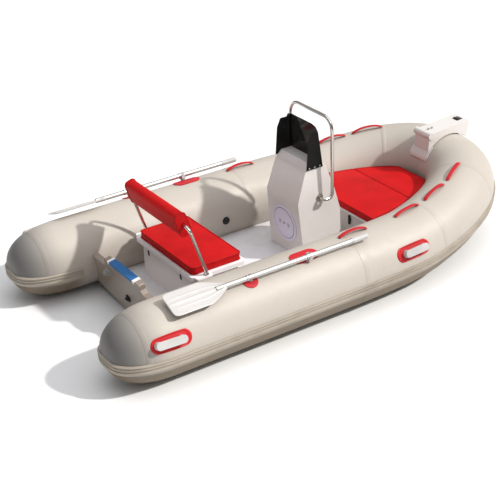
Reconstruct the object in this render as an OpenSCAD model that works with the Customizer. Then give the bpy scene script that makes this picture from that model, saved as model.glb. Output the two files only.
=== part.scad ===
// Small rigid inflatable boat: air tubes round a shallow V hull, jockey seat,
// steering console, bow locker, folding backrest and a pair of oars.
// Units are millimetres. +X points to the bow, +Y to port and +Z up.
// Stations are counted forward from the tips of the stern cones.

/* [Boat] */
// Length over the tubes
boat_l = 3170; // [2700:10:3900]
// Distance between the centrelines of the two side tubes
tube_spacing = 1220; // [1100:10:1500]
// Radius of the air tubes
tube_r = 225; // [200:1:230]
// Station where the side tubes begin to curve inwards
bow_start = 1645; // [1500:5:1700]
// How squarely the bow is rounded, 2 being an ellipse
bow_fullness = 2.42; // [2:0.02:2.8]
// How far the bow lifts above the straight tubes
bow_rise = 138; // [60:1:200]
// Length of the pointed stern cones
cone_l = 378; // [300:1:400]
// Radius of the blunt cone tips
cone_tip_r = 45; // [30:1:60]

/* [Rubbing strake] */
// Height of the strake band
strake_h = 70; // [40:1:90]
// Thickness of the band between its ribs
strake_t = 5; // [3:0.5:8]
// How far the ribs stand out of the band
strake_rib = 6; // [3:0.5:8]

/* [Hull and deck] */
// Height of the keel above the lowest line of the tubes
keel_z = 10; // [6:1:40]
// Height of the edges of the hull, where they meet the tubes
chine_z = 90; // [80:1:120]
// Thickness of the moulded hull
hull_t = 6; // [4:0.5:10]
// Thickness of the deck
deck_t = 8; // [6:0.5:15]

/* [Transom] */
// Station of the transom's aft face at its foot
transom_x = 503; // [480:1:560]
// Thickness of the transom
transom_t = 40; // [30:1:50]
// Rake of the transom, in degrees
transom_rake = 10.6; // [5:0.1:15]
// Height of the raised part that takes the outboard motor
transom_h = 342; // [320:1:400]
// Width of that raised part
transom_top_w = 428; // [380:1:460]
// Height of the shoulders either side of it
shoulder_h = 284; // [240:1:300]
// Width of the motor pad
motor_pad_w = 326; // [240:1:370]

/* [Seat] */
// Station of the aft face of the seat box
seat_x = 750; // [680:1:780]
// Length of the seat box
seat_l = 335; // [280:1:400]
// Width of the seat box
seat_w = 600; // [480:1:620]
// Height of the rim of the seat box above the ground line
seat_h = 335; // [300:1:380]
// Wall of the seat box
seat_wall = 6; // [4:0.5:8]
// Thickness of the seat lid
lid_t = 11; // [8:1:16]
// How far the lid overhangs the box
lid_overhang = 34; // [25:1:40]
// Depth of the lip under the edge of the lid
lid_lip = 16; // [10:1:24]
// Thickness of the seat cushion
cushion_t = 49; // [30:1:60]
// Length of the seat cushion
cushion_l = 347; // [280:1:360]
// Width of the seat cushion
cushion_w = 622; // [480:1:650]

/* [Backrest] */
// Station of the pivots of the backrest
pivot_x = 820; // [790:1:840]
// Distance between the two arms
arm_spacing = 706; // [690:1:730]
// Radius of the bent tube
arm_r = 10; // [8:0.5:11]
// Height of the cross tube above the pivots, along the arms
arm_l = 338; // [280:1:380]
// How far the arms lean aft, in degrees
arm_lean = 18; // [10:1:25]
// Length of the pad
rest_w = 590; // [500:1:600]
// Height of the pad
rest_h = 160; // [120:1:180]
// Thickness of the pad
rest_t = 80; // [60:1:90]
// Radius of the pivot pins
pivot_pin_r = 4; // [3:0.5:5]

/* [Console] */
// Station of the aft foot of the console
console_x = 1644; // [1560:1:1700]
// Height of its top above the ground line
console_h = 735; // [650:1:800]
// Half of its width at the foot
console_foot_w = 185; // [160:1:200]
// Half of its width at the top
console_top_w = 158; // [140:1:180]
// Wall of the console
console_wall = 5; // [4:0.5:8]
// Radius of the round hatch
hatch_r = 128; // [90:1:132]
// Thickness of the windscreen
screen_t = 4; // [3:0.5:6]
// Height of the windscreen above the console's top
screen_h = 245; // [180:1:280]
// Radius of the grab rail's tube
rail_r = 11; // [9:0.5:14]
// Height of the top of the rail above the ground line
rail_h = 1035; // [960:1:1100]
// Distance between the two uprights
rail_w = 436; // [428:1:480]

/* [Bow locker] */
// Station of the locker's aft face
locker_x = 2050; // [1990:1:2080]
// Station of the seam between the two bow cushions
seam_x = 2416; // [2380:1:2450]
// Station of the forward end of the bow cushions
bow_end_x = 2684; // [2640:1:2700]
// Height of the top of the locker's lid
locker_h = 308; // [290:1:330]
// Thickness of the bow cushions
bow_cushion_t = 50; // [30:1:60]

/* [Oars] */
// Station of the rowlocks
rowlock_x = 1300; // [1200:1:1320]
// Station of the rests that hold the stowed oars
rest_x = 895; // [840:1:920]
// Radius of the oar shafts
shaft_r = 15; // [12:0.5:18]
// Length of an oar
oar_l = 1380; // [1200:10:1420]
// Length from the rowlock to the end of the grip
inboard_l = 430; // [320:5:440]
// Length of a blade
blade_l = 400; // [320:5:420]
// Width of a blade
blade_w = 170; // [130:1:180]

/* [Handles] */
// Length of a grab handle between the middles of its feet
handle_l = 176; // [140:1:190]
// Width of a grab handle
handle_w = 26; // [20:1:34]
// Gap for the fingers under a grab handle
handle_gap = 24; // [18:1:35]
// Length of the patch under a lifting handle
patch_l = 252; // [220:1:280]
// Height of the patch
patch_h = 98; // [84:1:110]

/* [Hidden] */
$fn = 48;

// Small clearances, each used wherever two pieces of that kind meet
seat_gap = 0.5;      // between pieces that lie on one another
run_gap = 0.05;      // radial, round a turning pin
tube_gap = 1;        // between the tubes and rigid pieces shaped to them
far = 5000;          // longer than the boat, for cutting

half_beam = tube_spacing / 2;
bow_run = boat_l - tube_r - bow_start;
rise_start = bow_start + 465;
rise_power = 1.3;
cone_power = 2.6;
deck_top = chine_z + seat_gap + deck_t;

function lerp(a, b, t) = a + (b - a) * t;
function unit(v) = v / norm(v);

// ---- the line the tubes follow ----
// Plan of the bow: a superellipse run from +90 degrees at port to -90 at starboard
function bow_xy(a) = [bow_start + bow_run * pow(cos(a), 2 / bow_fullness),
    sign(a) * half_beam * pow(abs(sin(a)), 2 / bow_fullness)];
function rise(x) = bow_rise * pow(max(0, (x - rise_start) / (boat_l - tube_r - rise_start)), rise_power);
function tube_z(x) = tube_r + rise(x);
function bow_centre(a) = [each bow_xy(a), tube_z(bow_xy(a).x)];
// Outward normal in plan, taken from two neighbouring points of the line
function bow_normal(a) =
    abs(a) > 89.9 ? [0, sign(a)] :
    let (d = bow_xy(a - 0.05) - bow_xy(a + 0.05)) unit([-d.y, d.x]);
// Distance from the tube's centreline to its side between two heights
function reach(z_lo, z_hi, zc) =
    let (dz = zc < z_lo ? z_lo - zc : zc > z_hi ? zc - z_hi : 0) sqrt(tube_r * tube_r - dz * dz);
// A point inside the tubes, clear of them between two heights
function inner_xy(a, z_lo, z_hi, gap) =
    let (c = bow_centre(a)) [c.x, c.y] - bow_normal(a) * (reach(z_lo, z_hi, c.z) + gap);

// Where the edge of the hull meets the tube, which lifts with the bow
function chine(a) = chine_z + rise(bow_xy(a).x);
function chine_xy(a) = inner_xy(a, chine(a), chine(a), tube_gap);

bow_step_a = 5;
bow_angles = [for (a = [90:-bow_step_a:-90]) a];
// Angles whose points on the edge of the hull lie clear of the centreline
hull_angles = [for (a = [90:-bow_step_a / 2:bow_step_a / 2]) if (chine_xy(a).y > 25) a];

// Outline of the space between the tubes, at a range of heights
function inside_outline(x0, z_lo, z_hi, gap) =
    let (side = reach(z_lo, z_hi, tube_r) + gap,
        port = [[x0, half_beam - side], for (a = [90:-bow_step_a:bow_step_a])
            let (p = inner_xy(a, z_lo, z_hi, gap)) if (p.y > 20) p])
    concat(port, [for (i = [len(port) - 1:-1:0]) [port[i].x, -port[i].y]]);

// Bands of the strake: top and bottom below the tube's centre, and thickness
strake_bands = [[0, strake_h, strake_t], [4, 13, strake_t + strake_rib * 0.7],
    [22, 31, strake_t + strake_rib * 0.7], [42, strake_h - 6, strake_t + strake_rib]];

// Section of the strake as distance out from the centreline and height
function band_point(dz, t) = [sqrt(pow(tube_r + t, 2) - dz * dz), -dz];
strake_section = [band_point(0, tube_gap), band_point(0, strake_t),
    for (b = [strake_bands[1], strake_bands[2], strake_bands[3]]) each
        [band_point(b[0], strake_t), band_point(b[0], b[2]),
            band_point(b[1], b[2]), band_point(b[1], strake_t)],
    band_point(strake_h, strake_t), band_point(strake_h, tube_gap), band_point(strake_h / 2, tube_gap)];

// The strake stands a little prouder at the stern than at the bow
bow_proud = max([for (p = strake_section) p.x]) - tube_r;
boat_mid = (boat_l + bow_proud - strake_t - strake_rib) / 2;

// ---- shared shapes ----
// Moves pieces that are drawn by station to the model's own origin amidships
module boat() {
    translate([-boat_mid, 0, 0])
        children();
}

module port_and_starboard() {
    for (side = [0, 1])
        mirror([0, side, 0])
            children();
}

// A closed skin through rings of points, with flat ends
module skin(rings) {
    n = len(rings[0]);
    m = len(rings);
    points = [for (r = rings) each r];
    sides = [for (i = [0:m - 2]) for (j = [0:n - 1])
        let (k = (j + 1) % n) each
        [[i * n + j, i * n + k, (i + 1) * n + k], [i * n + j, (i + 1) * n + k, (i + 1) * n + j]]];
    polyhedron(points, [[0, for (j = [n - 1:-1:1]) j], each sides, [for (j = [0:n - 1]) (m - 1) * n + j]]);
}

// A box with its upright edges rounded, centred in X and Y, standing on z = 0
module rounded_box(l, w, h, r) {
    cube_l = l - 2 * r;
    cube_w = w - 2 * r;
    translate([-l / 2, -cube_w / 2, 0])
        cube([l, cube_w, h]);
    translate([-cube_l / 2, -w / 2, 0])
        cube([cube_l, w, h]);
    for (x = [-cube_l / 2, cube_l / 2], y = [-cube_w / 2, cube_w / 2])
        translate([x, y, 0])
            cylinder(r = r, h = h);
}

// A cylinder along X, from x = 0
module bar_x(r, l) {
    rotate([0, 90, 0])
        cylinder(r = r, h = l);
}

// A cylinder along Y, centred on y = 0
module bar_y(r, l) {
    rotate([90, 0, 0])
        cylinder(r = r, h = l, center = true);
}

// A flat slab with round ends, lying along X, standing on z = 0
module slot(l, w, h) {
    translate([-(l - w) / 2, -w / 2, 0])
        cube([l - w, w, h]);
    for (x = [-(l - w) / 2, (l - w) / 2])
        translate([x, 0, 0])
            cylinder(d = w, h = h);
}

// ---- air tubes ----
// Side of a cone: radius against station, grown outwards by an allowance
function cone_side(grow) = [for (u = [0:7.5:90])
    [cone_tip_r + grow + (tube_r - cone_tip_r) * cos(u),
        cone_l - (cone_l + grow) * pow(sin(u), 2 / cone_power)]];

// Cone and straight tube as one turned body, its axis at y = z = 0
module turned_tube(grow, x_end) {
    rotate([0, 90, 0])
        rotate_extrude($fn = 96)
            polygon([[0, x_end], [tube_r + grow, x_end], each cone_side(grow), [0, -grow]]);
}

module side_tube() {
    boat()
        translate([0, half_beam, tube_r])
            turned_tube(0, bow_start - baffle_t / 2);
}

baffle_t = 2;

module port_tube() {
    color("gainsboro")
        side_tube();
}

module starboard_tube() {
    color("gainsboro")
        mirror([0, 1, 0])
            side_tube();
}

tube_sides = 32;

function tube_ring(a, r) =
    let (c = bow_centre(a), n = bow_normal(a))
    [for (i = [0:tube_sides - 1]) let (t = 360 * i / tube_sides)
        [c.x + n.x * r * cos(t), c.y + n.y * r * cos(t), c.z + r * sin(t)]];

module bow_tube() {
    // The end rings stand half a baffle forward of the straight tubes
    rings = [for (a = bow_angles) let (ring = tube_ring(a, tube_r))
        abs(a) == 90 ? [for (p = ring) p + [baffle_t / 2, 0, 0]] : ring];
    color("gainsboro")
        boat()
            skin(rings);
}

module chamber_baffles() {
    color("dimgray")
        boat()
            port_and_starboard()
                translate([bow_start - baffle_t / 2 + 0.1, half_beam, tube_r])
                    bar_x(tube_r - 2, baffle_t - 0.2);
}

// ---- rubbing strake ----
strake_wrap = 350;

module strake_side() {
    boat()
        translate([0, half_beam, tube_r])
            difference() {
                for (b = strake_bands)
                    intersection() {
                        turned_tube(b[2], bow_start - baffle_t / 2);
                        union() {
                            translate([-tube_r, 0, -b[1]])
                                cube([far, 2 * tube_r, b[1] - b[0]]);
                            translate([-tube_r, -2 * tube_r, -b[1]])
                                cube([tube_r + strake_wrap, 2 * tube_r + 0.01, b[1] - b[0]]);
                        }
                    }
                turned_tube(tube_gap, far);
            }
}

module port_strake() {
    color("tan")
        strake_side();
}

module starboard_strake() {
    color("tan")
        mirror([0, 1, 0])
            strake_side();
}

module bow_strake() {
    rings = [for (a = bow_angles)
        let (c = bow_centre(a), n = bow_normal(a), dx = abs(a) == 90 ? baffle_t / 2 : 0)
        [for (p = strake_section) [c.x + dx + n.x * p.x, c.y + n.y * p.x, c.z + p.y]]];
    color("tan")
        boat()
            skin([for (r = rings) [for (i = [len(r) - 1:-1:0]) r[i]]]);
}

// ---- hull and deck ----
// Station of the transom's forward face at a height
function transom_front(z) = transom_x + transom_t / cos(transom_rake) - z * tan(transom_rake);
hull_end_x = chine_xy(hull_angles[len(hull_angles) - 1]).x;
keel_turn_x = 1850;
function keel(x) = keel_z + (chine_z + bow_rise * 0.8 - keel_z)
    * pow(max(0, (x - keel_turn_x) / (hull_end_x - keel_turn_x)), 2);
function hull_section(x, y, c, shear) =
    let (k = min(keel(x), c - 2 * hull_t), in = 1 - hull_t / (c - k))
    [[x - shear * k, 0, k], [x - shear * c, -y, c], [x - shear * c, -y * in, c],
        [x - shear * (k + hull_t), 0, k + hull_t], [x - shear * c, y * in, c], [x - shear * c, y, c]];

module hull_shell() {
    side = half_beam - reach(chine_z, chine_z, tube_r) - tube_gap;
    aft_x = transom_front(0) + seat_gap;
    rings = [hull_section(aft_x, side, chine_z, tan(transom_rake)),
        for (a = hull_angles) let (p = chine_xy(a)) hull_section(p.x, p.y, chine(a), 0)];
    color("white")
        boat()
            skin([for (i = [len(rings) - 1:-1:0]) rings[i]]);
}

module deck_liner() {
    // The deck stops under the locker, where the hull begins to rise
    deck_x0 = transom_front(deck_top) + seat_gap + deck_t * tan(transom_rake);
    color("whitesmoke")
        boat()
            intersection() {
                translate([0, 0, chine_z + seat_gap])
                    linear_extrude(deck_t)
                        polygon(inside_outline(deck_x0, deck_top, deck_top, tube_gap));
                cube([2 * (locker_x + 30), far, far], center = true);
            }
}

// ---- transom ----
// Puts a piece on the raked transom: z runs up its aft face, x through its thickness
module on_transom() {
    boat()
        translate([transom_x, 0, 0])
            rotate([0, -transom_rake, 0])
                children();
}

transom_top = transom_h / cos(transom_rake);
shoulder_top = shoulder_h / cos(transom_rake);
drain_z = 150;
drain_r = 12;

module transom() {
    v_top = chine_z / cos(transom_rake);
    hw = half_beam;
    tw = transom_top_w / 2;
    fillet = 22;
    outline = [[-hw, v_top + 12], [0, keel_z], [hw, v_top + 12], [hw, shoulder_top],
        [tw + fillet, shoulder_top], [tw, shoulder_top + fillet], [tw, transom_top - 8],
        [tw - 8, transom_top],
        [8 - tw, transom_top], [-tw, transom_top - 8], [-tw, shoulder_top + fillet],
        [-tw - fillet, shoulder_top], [-hw, shoulder_top]];
    color("white")
        difference() {
            on_transom()
                rotate([90, 0, 90])
                    linear_extrude(transom_t)
                        polygon(outline);
            boat()
                port_and_starboard()
                    translate([0, half_beam, tube_r])
                        bar_x(tube_r + tube_gap, far);
            on_transom()
                translate([-1, 0, drain_z])
                    bar_x(drain_r + 2, transom_t + 2);
        }
}

module motor_pad() {
    pad_t = 5;
    lip = 14;
    color("steelblue")
        on_transom()
            translate([0, 0, transom_top])
                rotate([90, 0, 90])
                    translate([0, 0, -pad_t])
                        difference() {
                            translate([-motor_pad_w / 2, -lip, 0])
                                cube([motor_pad_w, lip + pad_t, transom_t + 2 * pad_t]);
                            translate([-motor_pad_w / 2 - 1, -lip - 1, pad_t - 0.1])
                                cube([motor_pad_w + 2, lip + 1 + 0.1, transom_t + 0.2]);
                        }
}

boot_y = 188;
boot_z = 262;

// Bellows that seals the engine cables where they pass through the transom
module cable_boot() {
    color("black")
        on_transom()
            translate([-0.1, boot_y, boot_z])
                rotate([0, -90, 0]) {
                    cylinder(r = 30, h = 5);
                    for (i = [0:2])
                        translate([0, 0, 5 + 11 * i]) {
                            cylinder(r1 = 25 - 4 * i, r2 = 20 - 4 * i, h = 6);
                            translate([0, 0, 6])
                                cylinder(r = 18 - 4 * i, h = 5.001);
                        }
                }
}

module drain_bush() {
    color("dimgray")
        on_transom()
            translate([0, 0, drain_z])
                difference() {
                    union() {
                        translate([-4.1, 0, 0])
                            bar_x(26, 4);
                        translate([-4.1, 0, 0])
                            bar_x(drain_r + 1.8, transom_t + 4);
                    }
                    translate([-5, 0, 0])
                        bar_x(drain_r, transom_t + 10);
                }
}

module drain_plug() {
    color("black")
        on_transom()
            translate([0, 0, drain_z]) {
                translate([-4.2, 0, 0])
                    bar_x(drain_r - run_gap, 24);
                translate([-8.2, 0, 0])
                    bar_x(19, 4);
                translate([-20, -16, -3])
                    cube([12.5, 32, 6]);
            }
}

// ---- seat ----
seat_mid = seat_x + seat_l / 2;
lid_z = seat_h + 1;
lid_top = lid_z + lid_t;
lid_x0 = seat_x - lid_overhang * 0.65;
lid_x1 = seat_x + seat_l + lid_overhang * 0.65;
lid_w = seat_w + 2 * lid_overhang;
tab_l = 110;
tab_w = arm_spacing + 2 * arm_r + 8;

module seat_box() {
    vent_hole_r = 8;
    color("white")
        boat()
            translate([seat_mid, 0, 0])
                difference() {
                    translate([0, 0, deck_top + seat_gap])
                        rounded_box(seat_l, seat_w, seat_h - deck_top - seat_gap, 25);
                    translate([0, 0, deck_top + seat_gap + seat_wall])
                        rounded_box(seat_l - 2 * seat_wall, seat_w - 2 * seat_wall, seat_h, 25 - seat_wall);
                    for (y = vent_y)
                        translate([-seat_l / 2 - 1, y, vent_z])
                            bar_x(vent_hole_r, seat_wall + 2);
                }
}

vent_y = [-165, 215];
vent_z = 276;

module seat_vents() {
    color("dimgray")
        boat()
            for (y = vent_y)
                translate([seat_x - 3.1, y, vent_z]) {
                    rotate([90, 0, 90])
                        rotate([0, 0, 78])
                            slot(36, 16, 3);
                    bar_x(7.8, 3.1 + seat_wall);
                }
}

hinge_x = seat_x + seat_l + 8;
hinge_z = seat_h - 6;
hinge_r = 5;
hinge_pin_r = 2;
hinge_y = 190;
hinge_w = 80;

// Barrels of a hinge; odd or even ones of the five
module knuckles(first) {
    each_w = hinge_w / 5;
    for (i = [first:2:4])
        translate([0, -hinge_w / 2 + each_w * (i + 0.5), 0])
            difference() {
                bar_y(hinge_r, each_w - 0.4);
                bar_y(hinge_pin_r + run_gap, each_w + 2);
            }
}

module hinge_plate(first, size, at) {
    each_w = hinge_w / 5;
    for (i = [first:2:4])
        translate([at.x, -hinge_w / 2 + each_w * i + 0.2, at.z])
            cube([size.x, each_w - 0.4, size.z]);
}

module at_seat_hinges() {
    boat()
        for (y = [-hinge_y, hinge_y])
            translate([hinge_x, y, hinge_z])
                children();
}

module seat_hinge_base() {
    color("silver")
        at_seat_hinges() {
            knuckles(0);
            difference() {
                hinge_plate(0, [4.2, 0, 30], [-7.8, 0, -30]);
                bar_y(hinge_pin_r + run_gap, hinge_w);
            }
            translate([-7.8, -hinge_w / 2 + 0.2, -34])
                cube([2.5, hinge_w - 0.4, 22]);
        }
}

module seat_hinge_leaves() {
    color("silver")
        at_seat_hinges() {
            knuckles(1);
            translate([-2, 0, 0])
                difference() {
                    hinge_plate(1, [4, 0, 3.4], [0, 0, 3.4]);
                    translate([2, 0, 0])
                        bar_y(hinge_pin_r + run_gap, hinge_w);
                }
            translate([-2, -hinge_w / 2 + 0.2, 5.4])
                cube([16, hinge_w - 0.4, 1.4]);
        }
}

module seat_hinge_pins() {
    color("gray")
        at_seat_hinges()
            bar_y(hinge_pin_r, hinge_w - 0.4);
}

module seat_lid() {
    lid_mid = (lid_x0 + lid_x1) / 2;
    lid_l = lid_x1 - lid_x0;
    lip_t = 5;
    color("white")
        boat()
            difference() {
                union() {
                    translate([lid_mid, 0, lid_z])
                        rounded_box(lid_l, lid_w, lid_t, 18);
                    translate([lid_mid, 0, lid_z - lid_lip])
                        rounded_box(lid_l, lid_w, lid_lip + 1, 18);
                    translate([pivot_x - 20, 0, lid_z])
                        rounded_box(tab_l, tab_w, lid_t, 14);
                }
                // the underside is hollow, and open along the hinge
                translate([lid_mid + lip_t, 0, lid_z - lid_lip - 1])
                    rounded_box(lid_l, lid_w - 2 * lip_t, lid_lip + 1, 13);
            }
}

module seat_cushion() {
    color("crimson")
        boat()
            translate([seat_x - 5 + cushion_l / 2, 0, lid_top + seat_gap])
                rounded_box(cushion_l, cushion_w, cushion_t, 22);
}

pivot_up = 14;
pivot_z = lid_top + pivot_up;
ear_r = 13;
arm_y = arm_spacing / 2;
ear_t = 4;
ear_gap = 0.5;

module at_pivot() {
    boat()
        translate([pivot_x, 0, pivot_z])
            children();
}

// One upright ear each side, inboard of the arm, on a foot screwed to the lid
module backrest_brackets() {
    ear_y = arm_y - arm_r - ear_gap - ear_t;
    color("white")
        at_pivot()
            port_and_starboard()
                difference() {
                    union() {
                        translate([-ear_r, ear_y, seat_gap - pivot_up])
                            cube([2 * ear_r, ear_t, pivot_up]);
                        translate([0, ear_y + ear_t / 2, 0])
                            bar_y(ear_r, ear_t);
                        translate([-30, ear_y - 9, seat_gap - pivot_up])
                            cube([60, ear_t + 9, 3]);
                    }
                    translate([0, ear_y + ear_t / 2, 0])
                        bar_y(pivot_pin_r, ear_t + 2);
                }
}

module backrest_pins() {
    ear_y = arm_y - arm_r - ear_gap - ear_t;
    pin_l = arm_y + arm_r + 1 - ear_y;
    color("silver")
        at_pivot()
            port_and_starboard() {
                translate([0, ear_y + pin_l / 2, 0])
                    bar_y(pivot_pin_r, pin_l);
                translate([0, arm_y + arm_r + 2.5, 0])
                    bar_y(7, 4);
            }
}

// The backrest's own frame: z along the arms from the pivots, x square to them
module on_backrest() {
    at_pivot()
        rotate([0, -arm_lean, 0])
            children();
}

bend_r = 40;

module backrest_frame() {
    color("silver")
        on_backrest() {
            port_and_starboard()
                difference() {
                    union() {
                        translate([0, arm_y, 0])
                            cylinder(r = arm_r, h = arm_l - bend_r);
                        translate([0, arm_y, 0])
                            sphere(r = arm_r);
                        translate([0, arm_y - bend_r, arm_l - bend_r])
                            rotate([90, 0, 90])
                                rotate_extrude(angle = 90)
                                    translate([bend_r, 0])
                                        circle(r = arm_r);
                    }
                    translate([0, arm_y, 0])
                        bar_y(pivot_pin_r + run_gap, 4 * arm_r);
                }
            translate([0, 0, arm_l])
                bar_y(arm_r, 2 * (arm_y - bend_r));
        }
}

module backrest_pad() {
    color("crimson")
        on_backrest()
            translate([0, 0, arm_l])
                difference() {
                    rotate([90, 0, 0])
                        translate([0, 0, -rest_w / 2])
                            rounded_box(rest_t, rest_h, rest_w, 28);
                    bar_y(arm_r + 0.1, rest_w + 2);
                }
}

// ---- console ----
console_kink_z = 496;
console_kink = 33;
console_top_x = console_x + 76;
console_front_x = console_x + 156;
console_base_x = console_x + 294;
console_foot_z = deck_top + seat_gap;

// Side view of the console, drawn inwards by an allowance
function console_side(in) = [[console_x + in, console_foot_z - 1],
    [console_x - console_kink + in * 1.1, console_kink_z],
    [console_x + 31 + in * 1.1, console_h - 46 - in * 0.6], [console_top_x + in * 0.4, console_h - in],
    [console_front_x - in * 0.5, console_h - in], [console_front_x + 36 - in, console_h - 39 - in * 0.3],
    [console_base_x - 39 - in, console_h - 208], [console_base_x - in, console_h - 351],
    [console_base_x - in, console_foot_z - 1]];

module console_block(in) {
    slope = (console_foot_w - console_top_w) / (console_h - console_foot_z);
    intersection() {
        rotate([90, 0, 0])
            linear_extrude(2 * console_foot_w, center = true)
                polygon(console_side(in));
        rotate([90, 0, 90])
            linear_extrude(far)
                polygon([[-console_foot_w + in, console_foot_z], [console_foot_w - in, console_foot_z],
                    [console_top_w - in, console_h], [in - console_top_w, console_h]]);
    }
}

hatch_z = 303;
hatch_lean = atan(console_kink / (console_kink_z - console_foot_z));

// On the aft face of the console, x pointing aft out of it
module at_hatch() {
    boat()
        translate([console_x - (hatch_z - console_foot_z) * tan(hatch_lean), 0, hatch_z])
            rotate([0, -hatch_lean, 0])
                mirror([1, 0, 0])
                    children();
}

hatch_bore_r = hatch_r - 22;

module console_shell() {
    color("white")
        difference() {
            boat()
                difference() {
                    console_block(0);
                    console_block(console_wall);
                }
            at_hatch()
                translate([-20, 0, 0])
                    bar_x(hatch_bore_r + 3, 40);
        }
}

module hatch_ring() {
    color("lavender")
        at_hatch()
            difference() {
                union() {
                    translate([0.3, 0, 0])
                        bar_x(hatch_r, 4);
                    translate([-8, 0, 0])
                        bar_x(hatch_bore_r + 2.5, 9);
                }
                translate([-9, 0, 0])
                    bar_x(hatch_bore_r - 4, 20);
                translate([-4, 0, 0])
                    bar_x(hatch_bore_r, 20);
            }
}

module hatch_cover() {
    color("lavender")
        at_hatch()
            difference() {
                translate([-3.8, 0, 0])
                    bar_x(hatch_bore_r - run_gap, 9);
                for (a = [0, 180])
                    rotate([a, 0, 0])
                        translate([1.5, 44, 0])
                            bar_x(17, 10);
                translate([2.7, 0, 0])
                    bar_x(9, 10);
            }
}

screen_x0 = console_x + 38;
screen_x1 = console_front_x;
screen_y = console_top_w + 5;
screen_z0 = console_h - 30;

// Three sides of a box: a leaning front and two wings with sloping tops
module windscreen() {
    top = console_h + screen_h;
    shoulder = console_h + screen_h * 0.96;
    brow = console_h + screen_h * 0.84;
    wing = console_h + screen_h * 0.62;
    front = screen_y + screen_t;
    color([0.1, 0.1, 0.1, 0.6])
        boat()
            difference() {
                intersection() {
                    rotate([90, 0, 0])
                        linear_extrude(2 * front, center = true)
                            polygon([[screen_x0, screen_z0], [screen_x1 + 6, screen_z0],
                                [screen_x1 - 32, top], [screen_x1 - 60, top], [screen_x0 + 14, wing]]);
                    rotate([90, 0, 90])
                        linear_extrude(far)
                            polygon([[-front, screen_z0 - 1], [front, screen_z0 - 1],
                                [front - 3, brow], [front - 24, shoulder], [front - 62, top + 1],
                                [62 - front, top + 1], [24 - front, shoulder], [3 - front, brow]]);
                }
                console_block(-seat_gap);
                rotate([90, 0, 0])
                    linear_extrude(2 * screen_y, center = true)
                        polygon([[screen_x0 - 9, screen_z0 - 1], [screen_x1 + 6 - screen_t, screen_z0 - 1],
                            [screen_x1 - 33 - screen_t, top + 5], [screen_x0 - 9, top + 5]]);
            }
}

screw_stations = [screen_x0 + 20, screen_x0 + 60, screen_x0 + 100];

module windscreen_screws() {
    color("silver")
        boat()
            port_and_starboard()
                for (x = screw_stations)
                    translate([x, screen_y + screen_t + 1.6, screen_z0 + 12])
                        bar_y(5, 3);
}

rail_x = console_x + 196;
rail_y = rail_w / 2;
rail_foot_z = 500;
rail_bend = 85;
rail_foot_bend = 32;
foot_run = 14;
rail_turn = 16;
rail_foot_x = rail_x - rail_foot_bend - foot_run - rail_turn;
rail_stub_y = lerp(console_foot_w, console_top_w,
    (rail_foot_z - console_foot_z) / (console_h - console_foot_z));

module grab_rail() {
    upright = rail_h - rail_r - rail_bend - rail_foot_z - rail_foot_bend;
    color("silver")
        boat() {
            translate([rail_x, 0, rail_h - rail_r])
                bar_y(rail_r, rail_w - 2 * rail_bend);
            port_and_starboard() {
                translate([rail_x, rail_y, rail_foot_z + rail_foot_bend])
                    cylinder(r = rail_r, h = upright);
                translate([rail_x, rail_y - rail_bend, rail_h - rail_r - rail_bend])
                    rotate([90, 0, 90])
                        rotate_extrude(angle = 90)
                            translate([rail_bend, 0])
                                circle(r = rail_r);
                // the foot turns aft, then in to the console's side
                translate([rail_x - rail_foot_bend, rail_y, rail_foot_z + rail_foot_bend])
                    rotate([90, 90, 0])
                        rotate_extrude(angle = 90)
                            translate([rail_foot_bend, 0])
                                circle(r = rail_r);
                translate([rail_x - rail_foot_bend - foot_run, rail_y, rail_foot_z])
                    bar_x(rail_r, foot_run);
                translate([rail_x - rail_foot_bend - foot_run, rail_y - rail_turn, rail_foot_z])
                    rotate([0, 0, 90])
                        rotate_extrude(angle = 90)
                            translate([rail_turn, 0])
                                circle(r = rail_r);
                translate([rail_foot_x, rail_y - rail_turn, rail_foot_z])
                    rotate([90, 0, 0])
                        cylinder(r = rail_r, h = rail_y - rail_turn - rail_stub_y - 5.5);
            }
        }
}

module rail_flanges() {
    color("silver")
        boat()
            port_and_starboard()
                translate([rail_foot_x, rail_stub_y + 1.5, rail_foot_z])
                    rotate([-90, 0, 0])
                        cylinder(r = 24, h = 3.8);
}

// ---- bow locker ----
panel_t = 8;
locker_floor_z = chine_z + 50;

module inside_prism(x0, x1, z0, z1, gap) {
    intersection() {
        translate([0, 0, z0])
            linear_extrude(z1 - z0)
                polygon(inside_outline(bow_start, z0, z1, gap));
        translate([x0, -far / 2, 0])
            cube([x1 - x0, far, far]);
    }
}

lid_plate_t = 10;
lid_split_z = locker_h - lid_plate_t - seat_gap;
shelf_x = seam_x + 1;

module bow_locker() {
    color("white")
        boat()
            difference() {
                union() {
                    inside_prism(locker_x, shelf_x, locker_floor_z, lid_split_z, 5);
                    inside_prism(shelf_x - panel_t, bow_end_x + 10, locker_h - 20, locker_h, 5);
                    translate([locker_x, -half_beam + tube_r + 12, deck_top + seat_gap])
                        cube([panel_t, 2 * (half_beam - tube_r - 12), locker_floor_z - deck_top]);
                }
                inside_prism(locker_x + panel_t, shelf_x - panel_t, locker_floor_z + panel_t, far / 2, 40);
            }
}

module bow_locker_lid() {
    color("white")
        boat()
            inside_prism(locker_x - 14, seam_x - panel_t - 1, lid_split_z + seat_gap, locker_h, 6);
}

module bow_cushion_aft() {
    color("crimson")
        boat()
            inside_prism(locker_x - 14, seam_x - 1, locker_h + seat_gap, locker_h + bow_cushion_t, 5);
}

module bow_cushion_fwd() {
    color("crimson")
        boat()
            inside_prism(seam_x + 1, bow_end_x, locker_h + seat_gap, locker_h + bow_cushion_t, 5);
}

latch_y = -135;
latch_z = 250;
latch_l = 66;

// Turned latch on the locker's aft face, and the pivot it turns on
module latch_base() {
    color("black")
        boat()
            translate([locker_x - 0.2, latch_y, latch_z])
                rotate([0, -90, 0]) {
                    cylinder(r = 12, h = 3);
                    cylinder(r = 4, h = 12);
                }
}

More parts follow.
